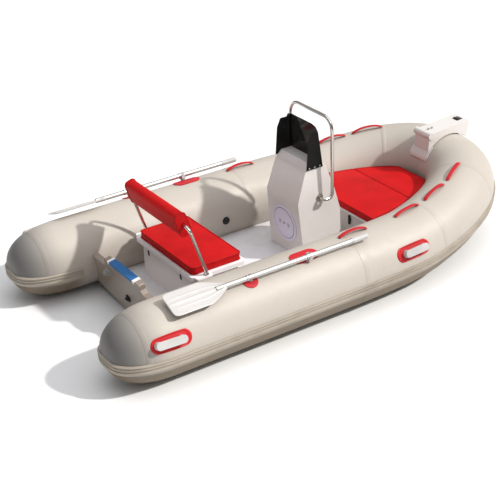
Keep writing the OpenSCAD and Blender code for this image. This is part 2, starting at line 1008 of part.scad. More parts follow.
module locker_latch() {
    color("black")
        boat()
            translate([locker_x - 3.5, latch_y, latch_z])
                rotate([0, -90, 0])
                    difference() {
                        slot(latch_l, 18, 8);
                        translate([0, 0, -1])
                            cylinder(r = 4 + run_gap, h = 12);
                    }
}

// ---- bow step and roller ----
step_w = 140;
bow_centre_x = boat_l - tube_r;
bow_centre_z = tube_r + bow_rise;
step_z = bow_centre_z + tube_r + 52;
step_x0 = bow_centre_x - 190;
step_x1 = bow_centre_x + 165;
roller_x = bow_centre_x + 128;
roller_r = 20;
roller_w = 56;
roller_z = step_z - 4;
nose_r = 24;

module bow_step() {
    side_view = [[step_x0, bow_centre_z + 108], [step_x0 + 12, step_z - nose_r], [step_x0 + 34, step_z - 6],
        [roller_x - 70, step_z + 8], [step_x1, step_z + 16], [step_x1 + 4, step_z - 8],
        [step_x1 - 30, bow_centre_z + 60], [step_x0 + 60, bow_centre_z + 40]];
    color("white")
        boat()
            difference() {
                union() {
                    rotate([90, 0, 0])
                        linear_extrude(step_w, center = true)
                            polygon(side_view);
                    translate([step_x0 + nose_r, 0, step_z - nose_r + 4])
                        bar_y(nose_r, step_w + 16);
                    intersection() {
                        translate([bow_centre_x, 0, bow_centre_z])
                            bar_y(tube_r + 14, step_w + 28);
                        translate([step_x0 - 24, -step_w / 2 - 14, bow_centre_z + 60])
                            cube([60, step_w + 28, 120]);
                    }
                }
                translate([bow_centre_x, 0, bow_centre_z])
                    bar_y(tube_r + 7, step_w + 60);
                translate([roller_x - roller_r - 6, -roller_w / 2 - 1, roller_z - roller_r - 6])
                    cube([2 * roller_r + 12, roller_w + 2, 90]);
                translate([roller_x, 0, roller_z])
                    bar_y(5, step_w - 20);
            }
}

module bow_roller() {
    color("dimgray")
        boat()
            translate([roller_x, 0, roller_z])
                difference() {
                    bar_y(roller_r, roller_w);
                    bar_y(5 + run_gap, roller_w + 2);
                }
}

module roller_pin() {
    color("silver")
        boat()
            translate([roller_x, 0, roller_z])
                bar_y(5, step_w - 20);
}

module bow_step_bolts() {
    color("dimgray")
        boat()
            for (dx = [62, 92])
                translate([step_x0 + dx, 0, step_z + 1])
                    cylinder(r = 7, h = 6);
}

// ---- inflation valves ----
valve_x = 1426;
valve_r = 26;
valve_bore_r = 15;
bow_valve_a = -84;

// On the inboard side of a tube, z pointing inboard out of the fabric
module at_port_valve() {
    boat()
        translate([valve_x, half_beam - tube_r - seat_gap, tube_r])
            rotate([90, 0, 0])
                children();
}

module at_bow_valve() {
    c = bow_centre(bow_valve_a);
    n = bow_normal(bow_valve_a);
    boat()
        translate([c.x - n.x * (tube_r + tube_gap), c.y - n.y * (tube_r + tube_gap), c.z])
            rotate([0, 0, atan2(-n.y, -n.x)])
                rotate([0, 90, 0])
                    children();
}

module valve_body() {
    difference() {
        cylinder(r = valve_r, h = 6);
        translate([0, 0, 2])
            cylinder(r = valve_bore_r, h = 10);
    }
}

module valve_cap() {
    translate([0, 0, 2.2])
        cylinder(r = valve_bore_r - run_gap, h = 4.5);
    translate([0, 0, 6.3])
        cylinder(r = 20, h = 5);
    translate([-14, -2.5, 11])
        cube([28, 5, 4]);
}

module valve_bodies() {
    color("gray") {
        at_port_valve()
            valve_body();
        mirror([0, 1, 0])
            at_port_valve()
                valve_body();
        at_bow_valve()
            valve_body();
    }
}

module port_valve_cap() {
    color("black")
        at_port_valve()
            valve_cap();
}

module starboard_valve_cap() {
    color("black")
        mirror([0, 1, 0])
            at_port_valve()
                valve_cap();
}

module bow_valve_cap() {
    color("black")
        at_bow_valve()
            valve_cap();
}

// ---- handles ----
handle_t = 7;
handle_foot = 26;
foot_t = 4;
handle_x = 1696;
foot_x = handle_l / 2 + handle_foot / 2;
crown_gap = 1.5;     // under handles on the curved part of the tube
handle_angles = [72, 58.5, 43];

// Arch of a handle standing on z = 0, along X
module grab_handle() {
    rise_h = handle_gap + handle_t;
    half = handle_l / 2;
    arch_r = (half * half + rise_h * rise_h) / (2 * rise_h);
    arch_a = asin(half / arch_r);
    arc = [for (a = [-arch_a:arch_a / 5:arch_a + 0.001])
        [arch_r * sin(a), max(foot_t, rise_h - arch_r + arch_r * cos(a))]];
    inner = [for (a = [arch_a:-arch_a / 5:-arch_a - 0.001])
        [(arch_r - handle_t) * sin(a), max(0, rise_h - arch_r + (arch_r - handle_t) * cos(a))]];
    rotate([90, 0, 0])
        linear_extrude(handle_w, center = true)
            polygon(concat([[-half - handle_foot, 0], [-half - handle_foot, foot_t]], arc,
                [[half + handle_foot, foot_t], [half + handle_foot, 0]], inner));
}

// Puts a handle on the crown of the curved tube, level with the crown at both its feet
module on_bow_crown(a) {
    foot_a = 2 * foot_x / norm(bow_xy(a - 1) - bow_xy(a + 1));
    ahead = bow_centre(a - foot_a);
    behind = bow_centre(a + foot_a);
    mid = (ahead + behind + 2 * bow_centre(a)) / 4;
    d = ahead - behind;
    boat()
        translate([mid.x, mid.y, (ahead.z + behind.z) / 2 + tube_r + crown_gap])
            rotate([0, -atan2(d.z, norm([d.x, d.y])), atan2(d.y, d.x)])
                children();
}

module grab_handles() {
    color("crimson")
        port_and_starboard() {
            boat()
                translate([handle_x, half_beam, 2 * tube_r + tube_gap])
                    grab_handle();
            for (a = handle_angles)
                on_bow_crown(a)
                    grab_handle();
        }
}

patch_t = 4;
patch_x_aft = 303;
patch_turn = 3.5;    // the aft patch lies partly on the cone, so it turns a little aft
patch_bow_a = 78;
patch_up = 24;

// Puts a piece on the outboard side of the port tube, x pointing forward, y up the
// tube's side and z out of it
module on_side(c, azimuth) {
    boat()
        translate([c.x, c.y, c.z])
            rotate([0, 0, azimuth - 90])
                rotate([patch_up - 90, 0, 0])
                    mirror([0, 1, 0])
                        children();
}

module on_aft_side() {
    on_side([patch_x_aft, half_beam, tube_r], 90 + patch_turn)
        children();
}

module on_bow_side() {
    n = bow_normal(patch_bow_a);
    on_side(bow_centre(patch_bow_a), atan2(n.y, n.x))
        children();
}

// The port side tube, grown
module grown_side_tube(grow) {
    boat()
        translate([0, half_beam, tube_r])
            turned_tube(grow, far);
}

// Racetracks cut from a skin that lies over the tubes
module lifting_patches() {
    color("crimson")
        port_and_starboard() {
            difference() {
                intersection() {
                    on_aft_side()
                        translate([0, 0, tube_r / 2])
                            slot(patch_l, patch_h, tube_r);
                    grown_side_tube(tube_gap + patch_t);
                }
                grown_side_tube(tube_gap);
            }
            on_bow_side()
                difference() {
                    intersection() {
                        translate([0, 0, tube_r / 2])
                            slot(patch_l, patch_h, tube_r);
                        translate([-patch_l, 0, 0])
                            bar_x(tube_r + tube_gap + patch_t, 2 * patch_l);
                    }
                    translate([-patch_l, 0, 0])
                        bar_x(tube_r + tube_gap, 2 * patch_l);
                }
        }
}

grip_l = 190;
grip_w = 46;
grip_foot = 32;
grip_gap = 18;
grip_base = tube_gap + patch_t + seat_gap;

// A bar on two feet, to be cut to the patch below it
module lifting_grip() {
    difference() {
        translate([0, 0, tube_r + grip_base - 12])
            slot(grip_l, grip_w, 12 + grip_gap + 12);
        translate([grip_foot - grip_l / 2, -grip_w, tube_r - 12])
            cube([grip_l - 2 * grip_foot, 2 * grip_w, 12 + grip_base + grip_gap]);
    }
}

module lifting_grips() {
    color("lightgray")
        port_and_starboard() {
            difference() {
                on_aft_side()
                    lifting_grip();
                grown_side_tube(grip_base);
            }
            on_bow_side()
                difference() {
                    lifting_grip();
                    translate([-patch_l, 0, 0])
                        bar_x(tube_r + grip_base, 2 * patch_l);
                }
        }
}

// ---- rowlocks and oars ----
pad_t = 4;
oar_turn = 22;       // the oars lie this far round the tube from its crown
pad_turn = 11;
pin_r = 6;
collar_r = shaft_r + 3;
yoke_t = 4;
pivot_r = 4;
// Distances from the tube's centreline, square to the skin under the oar. The
// oar swings in a plane that clears the grab handles.
handle_reach = (tube_r + tube_gap + handle_gap + handle_t) * cos(oar_turn) + handle_w / 2 * sin(oar_turn);
rowlock_z = max(tube_r + 23.5 + shaft_r, handle_reach + shaft_r + 5);
yoke_z = rowlock_z - collar_r - 0.6 - yoke_t;
boss_z = yoke_z - 0.4;
socket_z = tube_r + 6;

// A frame on the tube's centreline whose up leans outboard
module leaning_out(x, turn) {
    boat()
        translate([x, half_beam, tube_r])
            rotate([-turn, 0, 0])
                children();
}

// The stowed oar's shaft line: level, its blade aft
module at_rowlock(side) {
    mirror([0, side, 0])
        leaning_out(rowlock_x, oar_turn)
            translate([0, 0, rowlock_z])
                children();
}

module clear_of_tube() {
    difference() {
        children();
        translate([-500, 0, 0])
            bar_x(tube_r + tube_gap, 1000);
    }
}

// A pad curved to the tube
module oar_pad(l, w) {
    intersection() {
        slot(l, w, far);
        clear_of_tube()
            translate([-l, 0, 0])
                bar_x(tube_r + tube_gap + pad_t, 2 * l);
    }
}

// Pads, each with the post that takes a rowlock's pin
module rowlock_pads() {
    color("crimson")
        port_and_starboard()
            difference() {
                union() {
                    leaning_out(rowlock_x, pad_turn)
                        oar_pad(190, 96);
                    leaning_out(rowlock_x, oar_turn)
                        clear_of_tube()
                            cylinder(r = 15, h = boss_z);
                }
                leaning_out(rowlock_x, oar_turn)
                    translate([0, 0, socket_z])
                        cylinder(r = pin_r + run_gap, h = far);
            }
}

// Pin and yoke: swings on the pad, and carries the oar between its ears
module rowlock(side) {
    ear_y = collar_r + 0.6;
    color("dimgray")
        at_rowlock(side) {
            translate([0, 0, socket_z + 1 - rowlock_z])
                cylinder(r = pin_r, h = yoke_z + 1 - socket_z - 1);
            translate([-12, -ear_y - yoke_t, yoke_z - rowlock_z])
                cube([24, 2 * (ear_y + yoke_t), yoke_t]);
            port_and_starboard() {
                translate([-12, ear_y, yoke_z - rowlock_z])
                    cube([24, yoke_t, rowlock_z - yoke_z]);
                translate([0, ear_y + yoke_t / 2, 0])
                    bar_y(12, yoke_t);
                translate([0, ear_y - 1, 0])
                    bar_y(pivot_r, 6);
            }
        }
}

module port_rowlock() {
    rowlock(0);
}

module starboard_rowlock() {
    rowlock(1);
}

grip_len = 120;
collar_w = 46;

// Shaft with the collar that sits in the yoke and a stop ring at the rest
module oar_shaft(side) {
    aft = oar_l - inboard_l - blade_l + 90;
    color("silver")
        at_rowlock(side)
            difference() {
                union() {
                    translate([-aft, 0, 0])
                        bar_x(shaft_r, aft + inboard_l - grip_len);
                    translate([-collar_w / 2, 0, 0])
                        bar_x(collar_r, collar_w);
                    translate([rest_x - rowlock_x - 34, 0, 0])
                        bar_x(shaft_r + 3, 12);
                }
                bar_y(pivot_r + run_gap, 4 * shaft_r);
            }
}

module oar_blade(side) {
    aft = oar_l - inboard_l - blade_l + 90;
    blade_t = 6;
    tip = oar_l - inboard_l;
    color("white")
        at_rowlock(side)
            difference() {
                union() {
                    // flat blade with rounded corners, drawn in to the neck
                    linear_extrude(blade_t, center = true)
                        polygon([for (p = blade_outline) [p.x - tip, p.y]]);
                    translate([-aft - 70, 0, 0])
                        bar_x(shaft_r + 3, 110);
                    translate([-tip + 40, 0, 0])
                        bar_x(8, tip - 40 - aft - 60);
                }
                translate([-aft - 0.2, 0, 0])
                    bar_x(shaft_r + 0.1, 300);
            }
}

blade_corner = 38;
blade_outline = concat(
    [for (a = [90:15:180])
        [blade_corner * (1 + cos(a)), blade_w / 2 - blade_corner * (1 - sin(a))]],
    [for (a = [180:15:270])
        [blade_corner * (1 + cos(a)), blade_corner * (1 + sin(a)) - blade_w / 2]],
    [[blade_l * 0.6, -blade_w / 2], [blade_l * 0.8, -blade_w * 0.36], [blade_l - 30, -shaft_r - 3],
        [blade_l - 30, shaft_r + 3], [blade_l * 0.8, blade_w * 0.36], [blade_l * 0.6, blade_w / 2]]);

module oar_grip(side) {
    color("silver")
        at_rowlock(side) {
            translate([inboard_l - grip_len, 0, 0])
                bar_x(shaft_r + 2, grip_len - shaft_r);
            translate([inboard_l - shaft_r, 0, 0])
                sphere(r = shaft_r + 2);
        }
}

module port_oar_shaft() {
    oar_shaft(0);
}

module port_oar_blade() {
    oar_blade(0);
}

module port_oar_grip() {
    oar_grip(0);
}

module starboard_oar_shaft() {
    oar_shaft(1);
}

module starboard_oar_blade() {
    oar_blade(1);
}

module starboard_oar_grip() {
    oar_grip(1);
}

// A post on a round pad, with a hook that is open above and outboard
module oar_rests() {
    hook_w = 16;
    hook_t = 4;
    hook_z = rowlock_z - shaft_r - 1 - hook_t;
    color("crimson")
        port_and_starboard()
            leaning_out(rest_x, oar_turn) {
                oar_pad(96, 95);
                clear_of_tube()
                    cylinder(r = 10, h = hook_z + 0.5);
                translate([-hook_w / 2, -shaft_r - 1 - hook_t, hook_z])
                    cube([hook_w, 2 * shaft_r + hook_t, hook_t]);
                translate([-hook_w / 2, -shaft_r - 1 - hook_t, hook_z])
                    cube([hook_w, hook_t, shaft_r + hook_t + 8]);
            }
}

port_tube();
starboard_tube();
bow_tube();
chamber_baffles();
port_strake();
starboard_strake();
bow_strake();
hull_shell();
deck_liner();
transom();
motor_pad();
cable_boot();
drain_bush();
drain_plug();
seat_box();
seat_vents();
seat_hinge_base();
seat_hinge_pins();
seat_lid();
seat_hinge_leaves();
seat_cushion();
backrest_brackets();
backrest_pins();
backrest_frame();
backrest_pad();
console_shell();
hatch_ring();
hatch_cover();
windscreen();
windscreen_screws();
grab_rail();
rail_flanges();
bow_locker();
bow_locker_lid();
bow_cushion_aft();
bow_cushion_fwd();
locker_latch();
latch_base();
bow_step();
bow_roller();
roller_pin();
bow_step_bolts();
valve_bodies();
port_valve_cap();
starboard_valve_cap();
bow_valve_cap();
grab_handles();
lifting_patches();
lifting_grips();
rowlock_pads();
port_rowlock();
starboard_rowlock();
oar_rests();
port_oar_shaft();
port_oar_blade();
port_oar_grip();
starboard_oar_shaft();
starboard_oar_blade();
starboard_oar_grip();
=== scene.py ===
# %% [markdown]
# # A small rigid-hull inflatable boat
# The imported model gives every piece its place: x to the bow, y to port, z up, in metres.
# Hard parts keep their shape from it and only get a finish. Soft parts, and parts whose
# surface is one smooth sweep, such as the tubes, are worked out again here.

# %% The frame
import math
import bpy
import bmesh
import numpy as np
from mathutils import Matrix, Vector
from mathutils.bvhtree import BVHTree


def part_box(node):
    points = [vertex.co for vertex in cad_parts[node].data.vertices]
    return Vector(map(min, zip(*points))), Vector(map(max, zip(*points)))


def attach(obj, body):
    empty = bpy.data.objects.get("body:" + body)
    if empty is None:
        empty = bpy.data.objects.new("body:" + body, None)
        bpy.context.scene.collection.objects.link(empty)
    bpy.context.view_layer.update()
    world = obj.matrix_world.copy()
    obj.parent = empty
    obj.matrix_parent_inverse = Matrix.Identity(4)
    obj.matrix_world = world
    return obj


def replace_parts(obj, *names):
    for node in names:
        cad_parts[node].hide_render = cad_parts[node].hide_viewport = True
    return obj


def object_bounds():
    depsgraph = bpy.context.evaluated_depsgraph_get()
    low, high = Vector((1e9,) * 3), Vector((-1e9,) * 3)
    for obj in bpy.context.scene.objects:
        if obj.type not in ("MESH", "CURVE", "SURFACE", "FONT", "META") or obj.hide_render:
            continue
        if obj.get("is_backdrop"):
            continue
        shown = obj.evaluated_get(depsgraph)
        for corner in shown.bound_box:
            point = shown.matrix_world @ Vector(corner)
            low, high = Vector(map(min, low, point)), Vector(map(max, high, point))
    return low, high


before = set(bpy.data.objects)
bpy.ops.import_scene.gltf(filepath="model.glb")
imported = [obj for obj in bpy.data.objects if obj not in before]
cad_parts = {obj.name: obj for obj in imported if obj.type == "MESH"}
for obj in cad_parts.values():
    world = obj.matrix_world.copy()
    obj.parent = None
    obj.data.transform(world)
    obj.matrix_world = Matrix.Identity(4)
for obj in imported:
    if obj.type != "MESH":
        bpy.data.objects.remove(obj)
cad_box = [list(c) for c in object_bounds()]
MID = 1.584085          # stations are measured from the stern, the frame from amidships
HALF_BEAM, R = 0.610, 0.225      # the tube's axis off the middle, and its radius
# the bow's plan is a superellipse, and its line rises as a power of the way along
BOW_START, BOW_RUN, FULLNESS = 1.645, 1.300, 2.42
RISE_START, RISE, RISE_POWER, LIFT_END = 2.110, 0.138, 1.3, 2.945

# %% [markdown]
# ## Shader maths
# Adding node after node by hand hides what a material does. This class wraps one output
# socket, so that sums on values read like algebra, and `node` makes any other node.

# %% Sockets as numbers
class Sock:
    """An output socket of a material's node tree; +, -, *, / and ** add Math nodes to the tree."""

    def __init__(self, tree, socket=None):
        self.tree = tree
        self.socket = socket

    def node(self, kind, settings, inputs, out=0):
        """Adds a node with its settings and its inputs, as values or sockets, and returns one output."""
        n = self.tree.nodes.new(kind)
        for key, value in settings.items():
            setattr(n, key, value)
        for key, value in inputs.items():
            socket = n.inputs[key]
            if isinstance(value, Sock):
                self.tree.links.new(value.socket, socket)
            elif value is not None:
                socket.default_value = value
        return Sock(self.tree, n.outputs[out])

    def math(self, operation, a, b=None):
        return self.node("ShaderNodeMath", {"operation": operation}, {0: a, 1: b})

    def __add__(self, o):
        return self.math("ADD", self, o)

    def __radd__(self, o):
        return self.math("ADD", o, self)

    def __sub__(self, o):
        return self.math("SUBTRACT", self, o)

    def __rsub__(self, o):
        return self.math("SUBTRACT", o, self)

    def __mul__(self, o):
        return self.math("MULTIPLY", self, o)

    def __rmul__(self, o):
        return self.math("MULTIPLY", o, self)

    def __truediv__(self, o):
        return self.math("DIVIDE", self, o)

    def __pow__(self, o):
        return self.math("POWER", self, o)

    def step(self, low, high):
        """0 below low, 1 above high, and a smooth S between."""
        return self.node("ShaderNodeMapRange", {"interpolation_type": "SMOOTHSTEP"},
                         {0: self, 1: low, 2: high, 3: 0.0, 4: 1.0})


def srgb(r, g, b):
    """A colour picked in 0 to 255 as linear light: ((c + 0.055) / 1.055) to the power 2.4."""
    return tuple(((c / 255 + 0.055) / 1.055) ** 2.4 if c > 10 else c / 255 / 12.92 for c in (r, g, b))


def rgba(colour):
    """The colour with full alpha."""
    return (*colour, 1.0)


# %% [markdown]
# ## One recipe for a finish
# Each finish is a Principled shader with constants on its own sockets. Only colour,
# roughness and the bump that feeds the normal vary over the surface. Every finish here is
# built from the same few parts: a slow change of tone, a fine grain, and wear or dust.

# %% A finish and its parts
class Finish:
    """A material with one Principled shader, its constants given by name."""

    def __init__(self, name, **constants):
        self.material = bpy.data.materials.new(name)
        self.material.use_nodes = True
        tree = self.material.node_tree
        tree.nodes.clear()
        self.s = Sock(tree)
        out = tree.nodes.new("ShaderNodeOutputMaterial")
        self.shader = tree.nodes.new("ShaderNodeBsdfPrincipled")
        tree.links.new(self.shader.outputs[0], out.inputs[0])
        for key, value in constants.items():
            self.shader.inputs[key.replace("_", " ")].default_value = value
        self.where = self.s.node("ShaderNodeTexCoord", {}, {}, "Object")

    def axis(self, i):
        """The place on the piece along x, y or z, in metres."""
        return self.s.node("ShaderNodeSeparateXYZ", {}, {0: self.where}, i)

    def noise(self, scale, detail=3.0, stretch=(1, 1, 1)):
        """Value noise from 0 to 1 at so many cells a metre, stretched along the axes."""
        at = self.s.node("ShaderNodeMapping", {}, {"Vector": self.where, "Scale": stretch})
        return self.s.node("ShaderNodeTexNoise", {}, {"Vector": at, "Scale": scale, "Detail": detail})

    def cells(self, scale, stretch=(1, 1, 1)):
        """Distance to the nearest of scattered points, as in leather grain."""
        at = self.s.node("ShaderNodeMapping", {}, {"Vector": self.where, "Scale": stretch})
        return self.s.node("ShaderNodeTexVoronoi", {}, {"Vector": at, "Scale": scale}, "Distance")

    def mix(self, mask, a, b):
        """Colour a where mask is 0, and b where it is 1."""
        a = rgba(a) if isinstance(a, tuple) else a
        b = rgba(b) if isinstance(b, tuple) else b
        return self.s.node("ShaderNodeMix", {"data_type": "RGBA"}, {0: mask, 6: a, 7: b}, 2)

    def set(self, key, value):
        """Feeds a varying value into one of the shader's inputs."""
        self.s.tree.links.new(value.socket, self.shader.inputs[key])
        return self

    def bump(self, height, strength, distance):
        """Tilts the normal as if the surface stood height times distance proud."""
        inputs = {"Height": height, "Strength": strength, "Distance": distance}
        return self.set("Normal", self.s.node("ShaderNodeBump", {}, inputs, "Normal"))


def moulded(name, colour, dark, grain=900.0, depth=0.0001, rough=(0.25, 0.45), strength=0.25, **constants):
    """A plain moulded finish: its tone drifts between two colours, over a fine grain as bump."""
    f = Finish(name, **constants)
    drift = f.noise(2.3, 4.0)
    dust = f.noise(11.0, 5.0)
    f.set("Base Color", f.mix((drift * 0.6 + dust * 0.4).step(0.35, 0.75), colour, dark))
    f.set("Roughness", dust * (rough[1] - rough[0]) + rough[0])
    f.bump(f.noise(grain, 2.0), strength, depth)
    return f.material


# %% [markdown]
# ## The coated fabric
# The tubes are woven polyester with a rubber coat. From a step away it is one soft warm
# grey, but it has a faint weave and cloudy handling marks. Under the strake, outboard, it
# is painted brown as shade with a painted reflection of brown ground, and painted shade
# makes it darker grey towards the stern. Two crossed waves, each 2.4 mm long, give the weave.

# %% Tube fabric, tape and strake
def underside_shade(f):
    """Mask of painted shade: 1 below the strake, outboard and round the stern cones, and 0 elsewhere.

    The line's plan is ((x - x0) / run)^n + (|y| / beam)^n = 1, and outboard is over 1.
    """
    x = f.axis(0) + MID
    ahead = f.s.math("MAXIMUM", (x - BOW_START) / BOW_RUN, 0) ** FULLNESS
    aside = (f.s.math("ABSOLUTE", f.axis(1)) / HALF_BEAM) ** FULLNESS
    lift = f.s.math("MAXIMUM", (x - RISE_START) / (LIFT_END - RISE_START), 0) ** RISE_POWER * RISE
    outboard = f.s.math("MAXIMUM", (ahead + aside).step(0.96, 1.04), 1 - x.step(0.30, 0.45))
    return outboard * (1 - (f.axis(2) - lift).step(0.13, 0.16))


def coated(name, colour, low, rough=0.5):
    """Coated fabric, its low colour painted under the strake as shade, with crossed threads as bump."""
    f = Finish(name, Specular_IOR_Level=0.42)
    up = f.axis(2)
    cloudy = f.noise(3.1, 5.0)
    marks = f.noise(26.0, 4.0, (1, 1, 0.5))
    body = f.mix(cloudy.step(0.3, 0.8) * 0.55, colour, tuple(c * 0.9 for c in colour))
    body = f.mix(marks.step(0.62, 0.78) * 0.22, body, tuple(c * 0.75 for c in colour))
    # painted shade: darker grey towards the stern, where the cones face away from the sun
    stern_shade = 1 - f.axis(0).step(0.02 - MID, 0.30 - MID)
    body = f.mix(stern_shade * 0.85, body, srgb(80, 81, 82))
    # painted shade under the strake, browned as a painted reflection of the ground
    f.set("Base Color", f.mix(underside_shade(f) * 0.9, body, low))
    f.set("Roughness", marks * 0.18 + (rough - 0.09))
    x = f.axis(0) * 2600.0
    t = (f.axis(1) + up) * 2600.0
    threads = f.s.math("SINE", x) * f.s.math("SINE", t)
    f.bump(threads * 0.3 + f.noise(40.0, 3.0) * 0.9, 0.14, 0.0006)
    return f.material


# the second colour of each is painted shade under the strake, brown as from the ground's reflection
tube_fabric = coated("tube_fabric", srgb(184, 176, 166), srgb(112, 97, 76))
seam_tape_cloth = coated("seam_tape_cloth", srgb(181, 173, 163), srgb(110, 95, 75), rough=0.46)
strake_rubber = moulded("strake_rubber", srgb(168, 158, 145), srgb(146, 135, 121),
                        700.0, 0.0002, (0.5, 0.7), 0.3)
print("fabrics made")

# %% [markdown]
# ## Gelcoat and moulded plastics
# The hull, console and seat are glass fibre with a glossy white coat, never quite flat, so
# a slow bump bends the highlights. The hull's and the transom's coats are taupe and brown
# instead, as painted shade with a painted reflection of brown ground. The deck is the same
# coat with a non-slip pattern.

# %% Gelcoat, deck and plastics
def gelcoat(name, colour, dark):
    """Glossy coat whose reflections bend over slow ripples of the laminate under it."""
    f = Finish(name, Specular_IOR_Level=0.5, Coat_Weight=0.35, Coat_Roughness=0.12)
    drift = f.noise(1.9, 3.0)
    scuffs = f.noise(34.0, 6.0)
    tone = f.mix(drift.step(0.3, 0.75), colour, dark)
    f.set("Base Color", f.mix(scuffs.step(0.5, 0.9) * 0.04, tone, tuple(c * 0.85 for c in dark)))
    f.set("Roughness", scuffs * 0.1 + 0.26)
    f.bump(f.noise(5.0, 1.0) + f.noise(420.0, 1.0) * 0.01, 0.35, 0.0006)
    return f.material


def nonslip_deck():
    """Gelcoat with small scattered raised dots, and footmarks between them."""
    f = Finish("deck_gelcoat", Specular_IOR_Level=0.45)
    dots = f.cells(95.0)
    marks = f.noise(5.0, 6.0)
    f.set("Base Color", f.mix(marks.step(0.45, 0.75) * 0.6, srgb(216, 214, 216), srgb(192, 189, 189)))
    f.set("Roughness", marks * 0.3 + 0.3)
    f.bump(1 - dots.step(0.1, 0.4), 0.5, 0.0008)
    return f.material


def hatch_plastic():
    """Lilac plastic, with painted shade in the joint round the cover, its middle and its finger dips.

    The masks are rings of the distance |p - c| from the cover's middle c. The two dips
    stand 44 mm to either side, so theirs is the distance with |y| - 0.044 in place of y.
    """
    f = Finish("hatch_lilac", Specular_IOR_Level=0.45)
    lo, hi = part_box("hatch_cover")
    x, y, z = (f.axis(i) - (lo[i] + hi[i]) / 2 for i in range(3))
    rise = x * x + z * z
    away = (rise + y * y) ** 0.5
    aside = f.s.math("ABSOLUTE", y) - 0.044
    dips = (rise + aside * aside) ** 0.5
    gap_shade = away.step(0.1015, 0.1035) - away.step(0.1065, 0.1085)
    # painted shade in the joint round the cover, the middle recess and the finger dips
    dark = gap_shade * 0.8 + (1 - away.step(0.007, 0.011)) * 0.85 + (1 - dips.step(0.013, 0.018)) * 0.35
    cloudy = f.noise(2.3, 4.0)
    lilac = f.mix(cloudy, srgb(226, 221, 238), srgb(210, 204, 222))
    # the dark lilac is the painted shade
    f.set("Base Color", f.mix(dark, lilac, srgb(70, 64, 84)))
    f.set("Roughness", f.noise(11.0, 5.0) * 0.2 + 0.3)
    f.bump(f.noise(900.0, 2.0), 0.2, 0.0001)
    return f.material


white_gelcoat = gelcoat("white_gelcoat", srgb(222, 217, 213), srgb(210, 204, 201))
# painted shade: the hull and transom coats darkened and browned to stand for their shaded faces
hull_shade_gelcoat = gelcoat("hull_shade_gelcoat", srgb(188, 178, 168), srgb(166, 154, 144))
transom_shade_gelcoat = gelcoat("transom_shade_gelcoat", srgb(152, 139, 127), srgb(132, 118, 106))
# painted light: a lighter copy of the white gelcoat, brightening the seat box's shaded aft face
seat_lit_gelcoat = gelcoat("seat_lit_gelcoat", srgb(232, 229, 229), srgb(218, 213, 212))
deck_gelcoat = nonslip_deck()
lid_white = moulded("lid_white", srgb(243, 241, 242), srgb(230, 226, 228), 800.0, 0.0001, (0.28, 0.45), 0.2)
hatch_lilac = hatch_plastic()
grip_grey = moulded("grip_grey", srgb(192, 190, 188), srgb(168, 165, 163), 900.0, 0.0002, (0.4, 0.6), 0.3)
black_plastic = moulded("black_plastic", srgb(34, 33, 35), srgb(22, 22, 23), 900.0, 0.0002, (0.35, 0.6), 0.3)
black_rubber = moulded("black_rubber", srgb(44, 43, 43), srgb(28, 27, 27), 600.0, 0.0003, (0.55, 0.8), 0.4)
boot_grey = moulded("boot_grey", srgb(150, 146, 142), srgb(120, 116, 113), 600.0, 0.0003, (0.5, 0.7), 0.4)
blade_white = moulded("blade_white", srgb(196, 192, 189), srgb(184, 180, 177), 700.0, 0.0001, (0.3, 0.5), 0.2)
red_rubber = moulded("red_rubber", srgb(192, 18, 28), srgb(168, 12, 20), 700.0, 0.0003,
                     (0.38, 0.6), 0.35, Specular_IOR_Level=0.4)
print("gelcoats and plastics made")

# %% [markdown]
# ## Vinyl, metal and the smoked windscreen
# The cushions are red marine vinyl: a leather-like grain of small cells under slow darker
# clouds. The rail is polished stainless, and the oars are drawn aluminium.

# %% Vinyl, metals and glazing
def marine_vinyl(name, colour, dark):
    """Vinyl with a grain of fine cells pressed in, and slow darker clouds."""
    f = Finish(name, Specular_IOR_Level=0.14)
    grain = f.cells(620.0)
    cloud = f.noise(6.0, 4.0)
    f.set("Base Color", f.mix(cloud.step(0.3, 0.8), colour, dark))
    f.set("Roughness", grain * 0.22 + 0.4)
    f.bump(grain.step(0.0, 0.5) + f.noise(60.0, 3.0) * 0.6, 0.28, 0.0004)
    return f.material


def polished(name, colour, stretch, rough=0.1, bump=0.06):
    """Metal with fine draw lines along one axis, smeared a little by fingers."""
    f = Finish(name, Metallic=1.0)
    lines = f.noise(900.0, 2.0, stretch)
    smears = f.noise(18.0, 4.0)
    f.set("Base Color", f.mix(smears.step(0.4, 0.8), colour, tuple(c * 0.85 for c in colour)))
    f.set("Roughness", smears * 0.16 + rough)
    f.bump(lines, bump, 0.0001)
    return f.material


def smoked_sheet():
    """Smoked acrylic: mostly dark, part clear, with a hazy band of fine scratches."""
    f = Finish("smoked_acrylic", Specular_IOR_Level=0.12, IOR=1.49)
    haze = f.noise(9.0, 5.0)
    scratches = f.noise(300.0, 2.0, (1, 1, 0.05))
    f.set("Base Color", f.mix(haze.step(0.3, 0.8), srgb(12, 11, 11), srgb(22, 18, 16)))
    f.set("Roughness", scratches * 0.08 + 0.04)
    f.set("Alpha", haze * 0.1 + 0.88)
    return f.material


red_vinyl = marine_vinyl("red_vinyl", srgb(190, 14, 17), srgb(170, 8, 12))
piping_vinyl = marine_vinyl("piping_vinyl", srgb(176, 12, 16), srgb(150, 8, 12))
stainless = polished("stainless", (0.62, 0.58, 0.54), (1, 1, 0.05))
bolt_steel = polished("bolt_steel", (0.5, 0.49, 0.48), (1, 1, 1), 0.25)
oar_alloy = polished("oar_alloy", (0.60, 0.59, 0.57), (0.03, 1, 1), 0.42, 0.0)
smoked = smoked_sheet()


